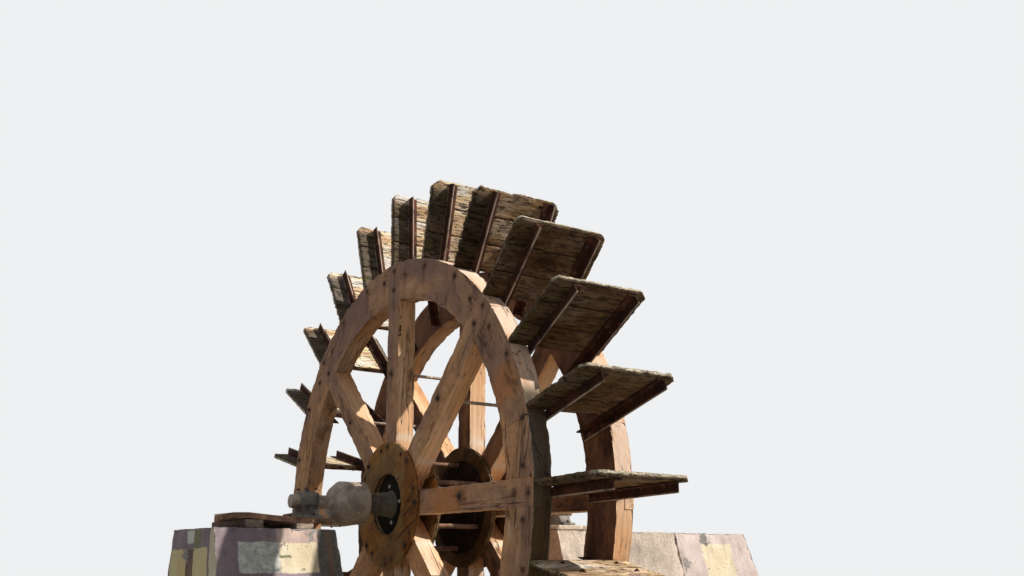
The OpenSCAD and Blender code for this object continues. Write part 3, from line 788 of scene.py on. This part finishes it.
# %% [markdown]
# ## Weathering
# Wood wears most at its corners: small chips go, and the arris ends up uneven.
# The tree below pushes the skin inwards by two noises stretched along the
# grain, a slow one everywhere and a hard bite near the edges. It never pushes
# outwards, so the timber stays inside the solid that it stands for.

# %% The weathering tree
def weathering(name, mat, stretch=(5.0, 22.0, 22.0)):
    t = Tree(name, Wear=0.003, Chips=0.012, Seed=1.0)
    grain = t.named("grain", "FLOAT_VECTOR")
    slow = t.noise(t.stretched(grain, stretch), t["Seed"])
    bite = t.noise(t.stretched(grain, tuple(2.4 * s for s in stretch)), t.plus(t["Seed"], 7.0), 2.0)
    chipped = t.times(t.band(bite, 0.47, 0.64), t.named("edge"))
    depth = t.sum("MULTIPLY_ADD", chipped, t["Chips"], t.times(t.band(slow, 0.3, 0.7), t["Wear"]))
    inwards = t.one("ShaderNodeVectorMath", {
        0: t.one("GeometryNodeInputNormal"), "Scale": t.times(depth, -1.0)}, operation="SCALE")
    return t.end(t.one("GeometryNodeSetPosition", {"Geometry": t["Geometry"], "Offset": inwards}), mat)


rim_weather = weathering("rim_weathering", rim_timber)
hub_weather = weathering("hub_weathering", hub_timber, (6.0, 14.0, 14.0))
packer_weather = weathering("packer_weathering", packer_timber)
print("weathering trees", rim_weather.tree.name, hub_weather.tree.name)

# %% [markdown]
# ## Where the bolts are
# The bolts come before the timber, because old iron stains the wood round and
# below it. Each is a place, the way it faces and the size of its washer: the
# ones through a rim and an angle iron, three at each spoke's lap, the tie rods'
# nuts, large and small ones in turn round each hub board, and three through
# each paddle and each of its irons.

# %% List the bolts
def around(angle, r, y, lift=0.0):
    """A point at an angle from X towards Z and a radius from the axle, lifted square to the radius."""
    c, s = math.cos(math.radians(angle)), math.sin(math.radians(angle))
    return (r * c - lift * s, y, AXLE_Z + r * s + lift * c)


def radial(angle):
    return (math.cos(math.radians(angle)), 0.0, math.sin(math.radians(angle)))


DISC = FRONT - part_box("hub_discs_front")[0].y     # thickness of a hub board
FRONT_IN, BACK_IN = FRONT + RIM_T, BACK - RIM_T   # inner faces of the rims
IRON_T = 0.006
IRON_ROWS = (1.308, 1.205)                        # radii of the two bolts that hold an iron
BOARD_ROWS = (1.415, 1.56, 1.705)                 # radii of the three bolts through a board
# At each spoke and on each hub board: degrees past the spoke, radius and size.
SPOKE_BOLTS = ((5.5, 1.272, 0.013), (-5.5, 1.272, 0.013), (0, 1.200, 0.0145), (0.8, 0.725, 0.017))
HUB_BOLTS = ((0, 0.312, 0.016), (14, 0.305, 0.011))
EIGHTH = 45                                       # degrees from one spoke to the next
wheel_bolts, board_bolts = [], []
for i in range(PADDLES):
    a = PHASE + TURN * i
    for y, out, inner in ((FRONT, -1, FRONT_IN + IRON_T), (BACK, 1, BACK_IN - IRON_T)):
        wheel_bolts.append((around(a, IRON_ROWS[0], y, -0.040), (0, out, 0), 0.0135))
        wheel_bolts += [(around(a, r, inner, -0.042), (0, -out, 0), 0.015) for r in IRON_ROWS]
    up_way = (-math.sin(math.radians(a)), 0, math.cos(math.radians(a)))
    down_way = tuple(-v for v in up_way)
    for y in (FRONT_IN + 0.030, BACK_IN - 0.030):
        for r in BOARD_ROWS:
            board_bolts.append((around(a, r, y, 0.0145), up_way, 0.014))
            board_bolts.append((around(a, r, y, -0.016 - IRON_T), down_way, 0.013))
for k in range(8):
    for y, out in ((FRONT, -1), (BACK, 1)):
        for row, lift in ((SPOKE_BOLTS, 0.0), (HUB_BOLTS, out * DISC)):
            wheel_bolts += [(around(EIGHTH * k + turn, r, y + lift), (0, out, 0), size) for turn, r, size in row]
print(len(wheel_bolts), "bolts in the timber and", len(board_bolts), "in the boards")

# %% [markdown]
# ## Rims, spokes and hub boards
# Each felloe was sawn from a straight plank, so its grain runs straight along
# its chord and not round the rim. A spoke's grain runs outwards. The grain
# attribute keeps each point's place in its own plank with a chance shift, so
# no two planks show the same figure. The edge attribute is 1 at a corner and
# fades over a few centimetres, and the stain attribute darkens the wood round
# each bolt and down from it.

# %% Grain, edges and stains
def plank_frame(angle, radially):
    """Rows along, across and through for a plank of the wheel."""
    out = np.array(radial(angle))
    side = np.array([-out[2], 0.0, out[0]])
    through = np.array([0.0, 1.0, 0.0])
    return np.array([out, -side, through]) if radially else np.array([side, out, through])


STAINS = [(np.array(spot), size) for spot, way, size in wheel_bolts if abs(way[1]) > 0.5]


def stained(points):
    """Darkness round each bolt and in a run below it."""
    dark = np.zeros(len(points))
    for spot, size in STAINS:
        near = np.flatnonzero(np.abs(points - spot).max(1) < 0.30)
        if not len(near):
            continue
        gap = points[near] - spot
        flat = np.hypot(gap[:, 0], gap[:, 2])
        ring = np.exp(-(flat / (1.5 * size)) ** 2)
        run = np.exp(-(gap[:, 0] / (0.8 * size)) ** 2) * np.clip(1 + gap[:, 2] / 0.16, 0, 1) * (gap[:, 2] < 0) * 0.6
        shown = np.maximum(ring, run) * (np.abs(gap[:, 1]) < 0.03)
        dark[near] = np.maximum(dark[near], shown)
    return dark


def corner(side, face, reach=0.030):
    """Nearness to a long corner, 1 on it."""
    return np.clip(1 - np.hypot(side, face) / reach, 0, 1)


def aged(name, planks, tree, seed, **wear):
    """Planks (points, squares, frame, edge) as one worn piece."""
    chance = np.random.default_rng(seed)
    rough = joined(name + "_rough", [plank[:2] for plank in planks], {
        "grain": [(points - HUB) @ turn.T + chance.uniform(-9, 9, 3) for points, squares, turn, edge in planks],
        "edge": [plank[3] for plank in planks],
        "stain": [stained(plank[0]) for plank in planks]})
    mesh = tree.grow(rough, name, Seed=float(seed), **wear)
    bpy.data.objects.remove(rough)
    print(name, len(mesh.polygons), "faces")
    return placed(name, mesh)


def on_side(y, back):
    """A depth behind an outer face, as a place along the axle."""
    return BACK - y if back else FRONT + y


# %% [markdown]
# A felloe or a hub board is a block bent round the axle. A spoke is a straight
# block, half lapped into the rim's outer face and cut at its end to the rim's
# own circle.

# %% Shapes of the planks
STEP = 0.013                         # about this far between two points of a plank's skin
HUB_IN, HUB_OUT = 0.165, 0.340       # radii of a hub board
SPOKE_W, LAP, PROUD = 0.128, 0.052, 0.0019
END_R = RIM_R + PROUD                # a spoke's end stands this little proud of the rim


def ring_plank(a0, a1, r0, r1, y0, y1, back, grain_angle):
    """A plank bent round the axle between two angles, in degrees."""
    arc = math.radians(a1 - a0) * r1
    points, squares = block(marks(0, arc, STEP), marks(r0, r1, STEP * 1.1), marks(y0, y1, STEP))
    angle = np.radians(a0) + points[:, 0] / r1
    r, y = points[:, 1], points[:, 2]
    spots = HUB + np.column_stack([r * np.cos(angle), on_side(y, back) - HUB[1], r * np.sin(angle)])
    edge = corner(np.minimum(r - r0, r1 - r), np.minimum(y - y0, y1 - y))
    return spots, squares[:, ::-1] if back else squares, plank_frame(grain_angle, False), edge


def spoke_plank(angle, back):
    """A spoke from the hub to the rim, half lapped into the rim's outer face."""
    turn = plank_frame(angle, True)
    long_marks = np.concatenate([marks(HUB_IN, RIM_IN + 0.004, STEP), marks(RIM_IN + 0.007, END_R, STEP)])
    points, squares = block(long_marks, marks(-SPOKE_W / 2, SPOKE_W / 2, STEP), marks(-PROUD, RIM_T, STEP))
    a, b, c = points.T.copy()
    lapped = a > RIM_IN + 0.005
    c = np.where(lapped & (c > 0), c * LAP / RIM_T, c)
    end = np.sqrt(END_R ** 2 - b ** 2)
    a = np.where(lapped, RIM_IN + (a - RIM_IN) * (end - RIM_IN) / (END_R - RIM_IN), a)
    flat = a[:, None] * turn[0] + b[:, None] * turn[1]
    spots = HUB + flat + np.column_stack([0 * a, on_side(c, back) - HUB[1], 0 * a])
    edge = corner(SPOKE_W / 2 - np.abs(b), np.minimum(c, RIM_T - c)) * np.where(lapped, 0.15, 1.0)
    return spots, squares[:, ::-1] if back else squares, turn, edge


# %% [markdown]
# Each set of planks is aged as one piece and takes the place of its node. The
# two rims have seeds of their own, so neither is a copy of the other.

# %% Age the rims, spokes and hub boards
FELLOE = (15.02, 59.98)              # ends of the first felloe in degrees, with a narrow joint at each
FELLOE_OUT, BOARD_OUT = 37.5, 118    # the directions that the planks' grain is square to


for back, side_name, base in ((False, "front", 11), (True, "back", 61)):
    felloes = [ring_plank(FELLOE[0] + turn, FELLOE[1] + turn, RIM_IN, RIM_R, 0, RIM_T, back, FELLOE_OUT + turn)
               for turn in range(0, 360, EIGHTH)]
    spokes = [spoke_plank(turn, back) for turn in range(0, 360, EIGHTH)]
    boards = [ring_plank(a0, a0 + 180.0, HUB_IN, HUB_OUT, y0, y0 + DISC, back, BOARD_OUT)
              for a0 in (0.0, 180.0) for y0 in (-DISC, RIM_T)]
    for word, planks, tree, more, slot, node, wear, chips in (
            ("rim_timbers_", felloes, rim_weather, 0, "rim_timber", "rim_", 0.0014, 0.0065),
            ("spoke_timbers_", spokes, rim_weather, 3, "rim_timber", "spokes_", 0.0012, 0.006),
            ("hub_boards_", boards, hub_weather, 5, "hub_timber", "hub_discs_", 0.001, 0.004)):
        piece = aged(word + side_name, planks, tree, base + more, Wear=wear, Chips=chips)
        settle(piece, "wheel", slot, node + side_name)

# %% [markdown]
# ## The paddles
# A paddle is three planks side by side on two angle irons. All twenty four
# follow one rule, so one tree makes them: a row of grids, one for each plank,
# with cut outer corners, edges eaten away by noise and a ragged outer end.
# The seed and a few amounts change from paddle to paddle, because some boards
# are rounder and more torn than others.

# %% The paddle tree
plo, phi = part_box("paddle_01")
REACH, BOARD_T = 0.4347, 0.032       # out from the rim, and thickness
ROOT_R = RIM_R + 0.0003              # where a board starts
BOARD_L = phi.y - plo.y
BOARD_Y = (phi.y + plo.y) / 2
FADE = 0.075                         # the edge values fade out over this length


def plank_row(t, wide):
    """The planks as gridded boxes side by side, each point with its plank's number."""
    grid = t.one("GeometryNodeMeshCube", {
        "Size": t.xyz(t.minus(wide, t["Gap"]), t["Length"], t["Thick"]),
        "Vertices X": 13, "Vertices Y": 40, "Vertices Z": 4})
    row = t.one("GeometryNodeMeshLine", {
        "Count": t["Planks"], "Start Location": t.xyz(t.times(wide, 0.5)), "Offset": t.xyz(wide)})
    row = t.store(row, "plank", t.one("GeometryNodeInputIndex"))
    planks = t.one("GeometryNodeInstanceOnPoints", {"Points": row, "Instance": grid})
    return t.one("GeometryNodeRealizeInstances", {0: planks})


def ragged(t, along, own, z, stretch, grit, step, depth, near):
    """How far an edge is eaten in. grit: the noise's seed, detail and roughness. step: where it bites."""
    at = t.xyz(t.times(along, stretch[0]), own, t.times(z, stretch[1]))
    return t.times(t.band(t.noise(at, *grit), *step), t.times(depth, t.band(*near)))


def paddle_tree():
    t = Tree("plank_paddle", Angle=0.0, Seed=0.0, Planks=3, Reach=REACH, Length=BOARD_L, Thick=BOARD_T,
             Corner=0.026, Rag=0.010, Gap=0.003, Tone_and_light=0.5)
    wide = t.sum("DIVIDE", t["Reach"], t["Planks"])
    board = plank_row(t, wide)
    own = t.sum("MULTIPLY_ADD", t.named("plank"), 3.7, t["Seed"])
    at = t.one("GeometryNodeInputPosition")
    x, y, z = t.split(at)
    to_end = t.minus(t["Reach"], x)
    to_side = t.minus(t.times(t["Length"], 0.5), t.size(y))
    ends = t.sum("MINIMUM", to_end, t.sum("MULTIPLY_ADD", to_side, 1.6, 0.012))
    grain = t.xyz(t.plus(y, t.times(own, 1.3)), t.plus(x, own), z)
    joint = t.size(t.minus(t.sum("FRACT", t.sum("DIVIDE", x, wide)), 0.5))
    # painted shadow of the iron: marks the iron side between the iron and the board's end
    iron_shadow_mask = t.times(t.band(to_side, 0.106, 0.096), t.band(z, 0.004, -0.004), t.band(to_end, 0.02, 0.07))
    upright = t.size(t.split(t.one("GeometryNodeInputNormal"))[2])
    board = t.store(board, "grain", grain, "FLOAT_VECTOR")
    for key, value in (("edge", t.band(ends, 0.0, FADE, 1.0, 0.0)), ("outer", t.band(to_end, 0.0, FADE, 1.0, 0.0)),
                       ("joint", t.band(joint, 0.455, 0.5)), ("tone", t["Tone_and_light"]), ("sheltered", iron_shadow_mask)):
        board = t.store(board, key, value)
    board = t.store(board, "thin_edge", t.band(upright, 0.6, 0.3), domain="FACE")
    # cut corners: what lies past the slanted line goes back square to it
    over = t.most(0.0, t.times(0.5, t.minus(t["Corner"], t.plus(to_end, to_side))))
    # rag: the outer end and both sides are eaten in
    end_in = ragged(t, y, own, z, (26.0, 30.0), (1.0, 4.0, 0.6), (0.42, 0.70), t["Rag"], (to_end, 0.05, 0.0))
    side_in = ragged(t, x, own, z, (60.0, 40.0), (5.0, 3.0, 0.6), (0.40, 0.70), t.times(t["Rag"], 0.8),
                     (to_side, 0.03, 0.0))
    # the boards are a little thinner where noise says, and towards their ends
    slow = t.noise(t.stretched(grain, (5.0, 30.0, 9.0)), 2.0, 3.0)
    worn = t.band(t.noise(t.stretched(at, (40.0, 22.0, 5.0)), own, 3.0), 0.35, 0.65)
    thin = t.sum("MULTIPLY_ADD", t.band(slow, 0.35, 0.7), 0.20, t.times(t.band(ends, 0.0, 0.05, 0.22, 0.0), worn))
    new = t.xyz(t.minus(t.minus(x, over), end_in), t.minus(y, t.times(t.sum("SIGN", y), t.plus(over, side_in))),
                t.times(z, t.minus(1.0, thin)))
    shaped = t.one("GeometryNodeSetPosition", {"Geometry": board, "Position": new})
    out = t.one("GeometryNodeTransform", {"Geometry": shaped, "Translation": (ROOT_R, 0, 0)})
    turned = t.one("GeometryNodeTransform", {
        "Geometry": out, "Translation": (0, BOARD_Y, AXLE_Z), "Rotation": t.xyz(0.0, t.times(t["Angle"], -1.0))})
    return t.end(t.one("GeometryNodeSetShadeSmooth", {"Geometry": turned, "Shade Smooth": True}), paddle_timber)


paddles = paddle_tree()
print("paddle tree", paddles.tree.name)

# %% [markdown]
# The first paddle stands just above the level of the axle on the right, and
# the others follow upwards. The tones are partly chance weathering and partly
# painted light: the first four, in shade, are nearly black, from the sixth on,
# towards the top where the sun falls, they are pale, and below the axle they
# turn dull again.

# %% Grow the paddles
seedling = placed("seedling", bpy.data.meshes.new("seedling"))
TORN = {1: {"Rag": 0.012}, 4: {"Rag": 0.016, "Corner": 0.040}, 5: {"Rag": 0.012, "Corner": 0.045}, 8: {"Rag": 0.014}}
# tones partly painted light: pale where the sun falls, dark where the boards are shaded
TONES_AND_LIGHT = (0.20, 0.16, 0.12, 0.14, 0.34, 0.85, 0.95, 1.0, 1.0, 1.0, 0.95, 0.9, 0.8, 0.7, 0.6, 0.5,
         0.45, 0.4, 0.4, 0.4, 0.45, 0.6, 0.95, 0.70)   # from nearly black to pale, one for each paddle
faces = 0
for i in range(PADDLES):
    own = {"Rag": 0.005, "Corner": 0.026, "Tone_and_light": TONES_AND_LIGHT[i], **TORN.get(i, {})}
    mesh = paddles.grow(seedling, "paddle_boards_%02d" % (i + 1), Angle=math.radians(PHASE + TURN * i),
                        Seed=3.1 * i + 0.7, **own)
    settle(placed(mesh.name, mesh), "wheel", "paddle_timber", "paddle_%02d" % (i + 1))
    faces += len(mesh.polygons)
print("24 paddles,", faces, "faces")

# %% [markdown]
# ## Setting the bolts
# A bolt is a thin washer, a six sided head with its corners taken off and the
# stub of the thread. One tree sets it on each listed point, turned to face
# the way the point says and scaled to its washer.

# %% The bolt tree
def bolt_tree(mat):
    t = Tree("bolts")
    whole = t.node("GeometryNodeJoinGeometry")
    for kind, sockets, lift in (
            ("Cylinder", {"Vertices": 8, "Radius": 0.30, "Depth": 0.9}, 0.35),
            ("Cone", {"Vertices": 6, "Radius Bottom": 0.66, "Radius Top": 0.50, "Depth": 0.09}, 0.51),
            ("Cylinder", {"Vertices": 6, "Radius": 0.66, "Depth": 0.42}, 0.30),
            ("Cylinder", {"Vertices": 14, "Radius": 1.0, "Depth": 0.18}, 0.0)):
        solid = t.one("GeometryNodeMesh" + kind, sockets)
        lifted = t.one("GeometryNodeTransform", {"Geometry": solid, "Translation": (0, 0, lift)})
        t.tree.links.new(lifted, whole.inputs[0])
    facing = t.one("FunctionNodeAlignRotationToVector", {"Vector": t.named("facing", "FLOAT_VECTOR")}, axis="Z")
    spin = t.one("FunctionNodeAxisAngleToRotation", {"Axis": (0, 0, 1), "Angle": t.named("spin")})
    turned = t.one("FunctionNodeRotateRotation", {"Rotation": facing, "Rotate By": spin}, rotation_space="LOCAL")
    size = t.named("size")
    return t.end(t.one("GeometryNodeInstanceOnPoints", {
        "Points": t["Geometry"], "Instance": whole.outputs[0], "Rotation": turned,
        "Scale": t.xyz(size, size, size)}), mat)


def set_bolts(name, bolts, tree, body, slot, seed):
    """Bolts as one piece. Each is a place, the way it faces and its size, which varies a little."""
    chance = np.random.default_rng(seed)
    spots, ways, sizes = zip(*bolts)
    dots = bpy.data.meshes.new(name)
    dots.from_pydata(spots, [], [])
    give(dots, "facing", ways)
    give(dots, "size", np.array(sizes) * chance.uniform(0.9, 1.1, len(bolts)))
    give(dots, "spin", chance.uniform(0, 6.28, len(bolts)))
    holder = placed(name + "_points", dots)
    mesh = tree.grow(holder, name)
    bpy.data.objects.remove(holder)
    settle(placed(name, mesh), body, slot)
    print(name, len(bolts), "bolts,", len(mesh.polygons), "faces")


dull_bolts = bolt_tree(bolt_iron)
set_bolts("wheel_bolts", wheel_bolts, dull_bolts, "wheel", "rusted_steel", 5)
set_bolts("board_bolts", board_bolts, dull_bolts, "wheel", "rusted_steel", 6)

# %% [markdown]
# The bearing caps have four nuts each. The plate inside each hub ring has
# four studs round the boss, whose zinc still shines, and the bearing's foot
# is held to its channel or plate by one nut at each end.

# %% Nuts of the bearings and the hub
PLATE_IN = 0.006                     # the plate lies this far inside the rim's outer face
STUD_R, STUD_TURNS = 0.099, (8, 98, 188, 278)
CAP_X, CAP_Y, FOOT_X, FOOT_Z = 0.056, 0.026, 0.098, 0.022   # from a bearing's middle and its base's underside
cap_nuts, foot_nuts, hub_studs = [], [], []
for low, high in loose_boxes("bearing_caps"):
    middle = (low + high) / 2
    for dx in (-CAP_X, CAP_X):
        for dy in (-CAP_Y, CAP_Y):
            cap_nuts.append(((middle[0] + dx, middle[1] + dy, high[2]), (0, 0, 1), 0.0125))
for low, high in loose_boxes("bearing_bases"):
    middle = (low + high) / 2
    for dx in (-FOOT_X, FOOT_X):
        foot_nuts.append(((middle[0] + dx, middle[1], low[2] + FOOT_Z), (0, 0, 1), 0.015))
for turn in STUD_TURNS:
    for y, out in ((FRONT + PLATE_IN, -1), (BACK - PLATE_IN, 1)):
        hub_studs.append((around(turn, STUD_R, y), (0, out, 0), 0.010))
set_bolts("cap_nuts", cap_nuts + foot_nuts, dull_bolts, "supports", "bearing_iron", 7)
set_bolts("hub_studs", hub_studs, bolt_tree(bright_bolt), "wheel", "grey_steel", 9)

# %% [markdown]
# ## Ironwork
# The bearings, collars, bosses, flanges, bars and angle irons have the right
# shape already. A merged copy gets a small bevel, so that each edge catches a
# line of light as cast and rolled iron does, and then its rusty finish. The
# free edge of each angle iron is painted pale, partly rubbed wear and partly a
# painted highlight, and the shaft is made a little thinner, so that its flats
# pass those of the bearing bores.

# %% Bevelled ironwork
SLIM = 0.988
BEHIND = 9.5                         # an angle iron reaches back from its board by less than this, in degrees


def lit_edge_marks(mesh):
    """An edge value of 1 along the free edge of each angle iron, 0 from 3 mm away; the finish paints it pale, partly
    wear and partly a painted highlight.
    """
    spots = np.array([v.co[:] for v in mesh.vertices]) - HUB
    turn = np.degrees(np.arctan2(spots[:, 2], spots[:, 0]))
    apart = np.radians((turn - PHASE + BEHIND) % TURN - BEHIND)
    below = -np.hypot(spots[:, 0], spots[:, 2]) * np.sin(apart)
    give(mesh, "edge", np.clip((below - below.max() + 0.006) / 0.003, 0, 1))


def dressed(node_name, mat, width, body, slot):
    """A merged copy of a node with rounded edges and a finish, standing for the node."""
    work = bmesh.new()
    work.from_mesh(nodes[node_name].data)
    bmesh.ops.remove_doubles(work, verts=work.verts, dist=1e-5)
    bmesh.ops.dissolve_limit(work, angle_limit=math.radians(0.6), verts=work.verts, edges=work.edges)
    mesh = bpy.data.meshes.new("merged_copy")
    work.to_mesh(mesh)
    work.free()
    obj = placed("merged_copy", mesh)
    bevel = obj.modifiers.new("edges", "BEVEL")
    bevel.width, bevel.segments, bevel.limit_method = width, 2, "ANGLE"
    bevel.angle_limit, bevel.use_clamp_overlap = math.radians(32), True
    made = bpy.data.meshes.new_from_object(obj.evaluated_get(bpy.context.evaluated_depsgraph_get()))
    bpy.data.objects.remove(obj)
    bpy.data.meshes.remove(mesh)
    made.name = node_name + "_dressed"
    if node_name == "axle_shaft":
        for v in made.vertices:
            v.co.x, v.co.z = v.co.x * SLIM, AXLE_Z + (v.co.z - AXLE_Z) * SLIM
    made.materials.clear()
    made.materials.append(mat)
    made.polygons.foreach_set("use_smooth", np.ones(len(made.polygons), bool))
    made.set_sharp_from_angle(angle=math.radians(38))
    if mat is angle_iron:
        lit_edge_marks(made)
    settle(placed(made.name, made), body, slot, node_name)
    return len(made.polygons)


IRONWORK = (                         # node, finish, bevel, body and slot
    ("axle_shaft", grey_iron, 0.003, "wheel", "grey_steel"),
    ("axle_collars", grey_iron, 0.004, "wheel", "grey_steel"),
    ("hub_bosses", boss_iron, 0.004, "wheel", "rusted_steel"),
    ("hub_flanges", flange_iron_painted_shade, 0.003, "wheel", "rusted_steel"),
    ("hub_tie_bars", rusty_iron, 0.002, "wheel", "rusted_steel"),
    ("tie_rods", grey_iron, 0.0015, "wheel", "grey_steel"),
    ("brackets_front", angle_iron, 0.0014, "wheel", "rusted_steel"),
    ("brackets_back", angle_iron, 0.0014, "wheel", "rusted_steel"),
    ("bearing_bases", bearing_iron, 0.0035, "supports", "bearing_iron"),
    ("bearing_caps", bearing_iron, 0.003, "supports", "bearing_iron"),
    ("bearing_channel", rusty_iron, 0.002, "supports", "rusted_steel"),
    ("bearing_plate", pale_plate, 0.003, "supports", "pale_plate"),
)
for row in IRONWORK:
    print(row[0], dressed(*row), "faces")

# %% [markdown]
# ## The piers
# Cast concrete with rendered and painted sides. The even skin lets chance
# noise take crumbs off the arrises. Paint is a finish: panels are set out in
# metres on the face they belong to.

# %% Pier skins and paint areas
# the lighter mauve band on the +X face, from -1.567 to -1.360, is painted sunlight where the sun falls through the
# wheel
NEAR_AREAS = (
    (0, -1.567, -1.360, 1.695, 1.80, "pink"), (0, -1.360, -0.90, 1.20, 1.80, "grey"),
    (0, -1.318, -1.288, 1.20, 1.80, "brown"), (0, -1.761, -1.560, 1.552, 1.695, "scraped"),
    (0, -1.560, -1.365, 1.552, 1.695, "cream"), (0, -1.56, -1.50, 1.622, 1.636, "green"),
    (1, -0.354, -0.086, 0.40, 1.663, "yellow"), (1, 0.023, 0.233, 0.40, 1.668, "yellow"),
    (1, -0.079, 0.039, 1.691, 1.753, "white"), (1, 0.03, 0.13, 1.67, 1.755, "green"),
    (1, -0.086, 0.023, 0.40, 1.663, "brown"), (1, 0.262, 0.36, 1.20, 1.80, "cream"),
    (0, -1.72, -1.38, 0.40, 1.42, "cream"))
FAR_AREAS = ((0, 1.20, 1.45, 0.40, 1.715, "cream"), (1, -0.30, 0.30, 0.40, 1.66, "cream"))
painted_near = painted_pier("painted_near_pier", "mauve", NEAR_AREAS)
painted_far = painted_pier("painted_far_end", "far_pink", FAR_AREAS, 0.63)
UPRIGHT = np.eye(3)                  # rows: along, across, through
PIER_STEP = 0.022                    # between two points of a pier's skin, about


def pier_skin(node_name):
    """A pier's tapered block, fitted to the corners of its solid."""
    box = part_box(node_name)
    own = np.array([v.co[:] for v in nodes[node_name].data.vertices])
    foot, top = own[own[:, 2] < box[0].z + 0.001], own[own[:, 2] > box[1].z - 0.001]
    high = box[1].z - box[0].z
    points, squares = block(marks(0, 1, PIER_STEP / 1.4, (0.0, 0.003, 0.009, 0.02)),
                            marks(0, 1, PIER_STEP / 0.9, (0.0, 0.004, 0.011, 0.025)),
                            marks(0, high, PIER_STEP, (0.0, 0.003, 0.009, 0.02)))
    x, y, z = points.T
    low = foot.min(0) + (top.min(0) - foot.min(0)) * (z / high)[:, None]
    foot_wide, top_wide = foot.max(0) - foot.min(0), top.max(0) - top.min(0)
    wide = foot_wide + (top_wide - foot_wide) * (z / high)[:, None]
    spots = np.column_stack([low[:, 0] + x * wide[:, 0], low[:, 1] + y * wide[:, 1], box[0].z + z])
    gap = np.sort(np.column_stack([np.minimum(x, 1 - x) * wide[:, 0], np.minimum(y, 1 - y) * wide[:, 1],
                                   np.minimum(z, high - z)]), axis=1)
    return spots, squares, UPRIGHT, corner(gap[:, 0], gap[:, 1], 0.035)


for node_name, mat, slot_name, wear in (
        ("pier_near", painted_near, "painted_render", 0.003), ("pier_far_end", painted_far, "painted_render", 0.002),
        ("pier_far", bare_pier, "rough_concrete", 0.005)):
    tree = weathering(mat.name + "_weathering", mat, (7.0, 7.0, 7.0))
    piece = aged(node_name + "_cast", [pier_skin(node_name)], tree, 5, Wear=wear, Chips=0.008)
    for v in piece.data.vertices:        # the foot stays on the ground
        v.co.z = max(v.co.z, 0.0)
    settle(piece, "supports", slot_name, node_name)

# %% [markdown]
# The packers are offcuts of plank laid under the channel and the far plate.
# Each is read back from its solid's box, so it stays where the model has it.

# %% Packers
offcuts = []
for low, high in loose_boxes("packers"):
    points, squares = block(*(marks(low[k], high[k], 0.012, (0.0, 0.0012, 0.0028)) for k in range(3)))
    gap = np.sort(np.minimum(points - low, high - points), axis=1)
    offcuts.append((points, squares, UPRIGHT, corner(gap[:, 0], gap[:, 1], 0.012)))
piece = aged("packer_offcuts", offcuts, packer_weather, 8, Wear=0.001, Chips=0.003)
settle(piece, "supports", "packer_timber", "packers")

# %% Remove the seedling
bpy.data.objects.remove(seedling)
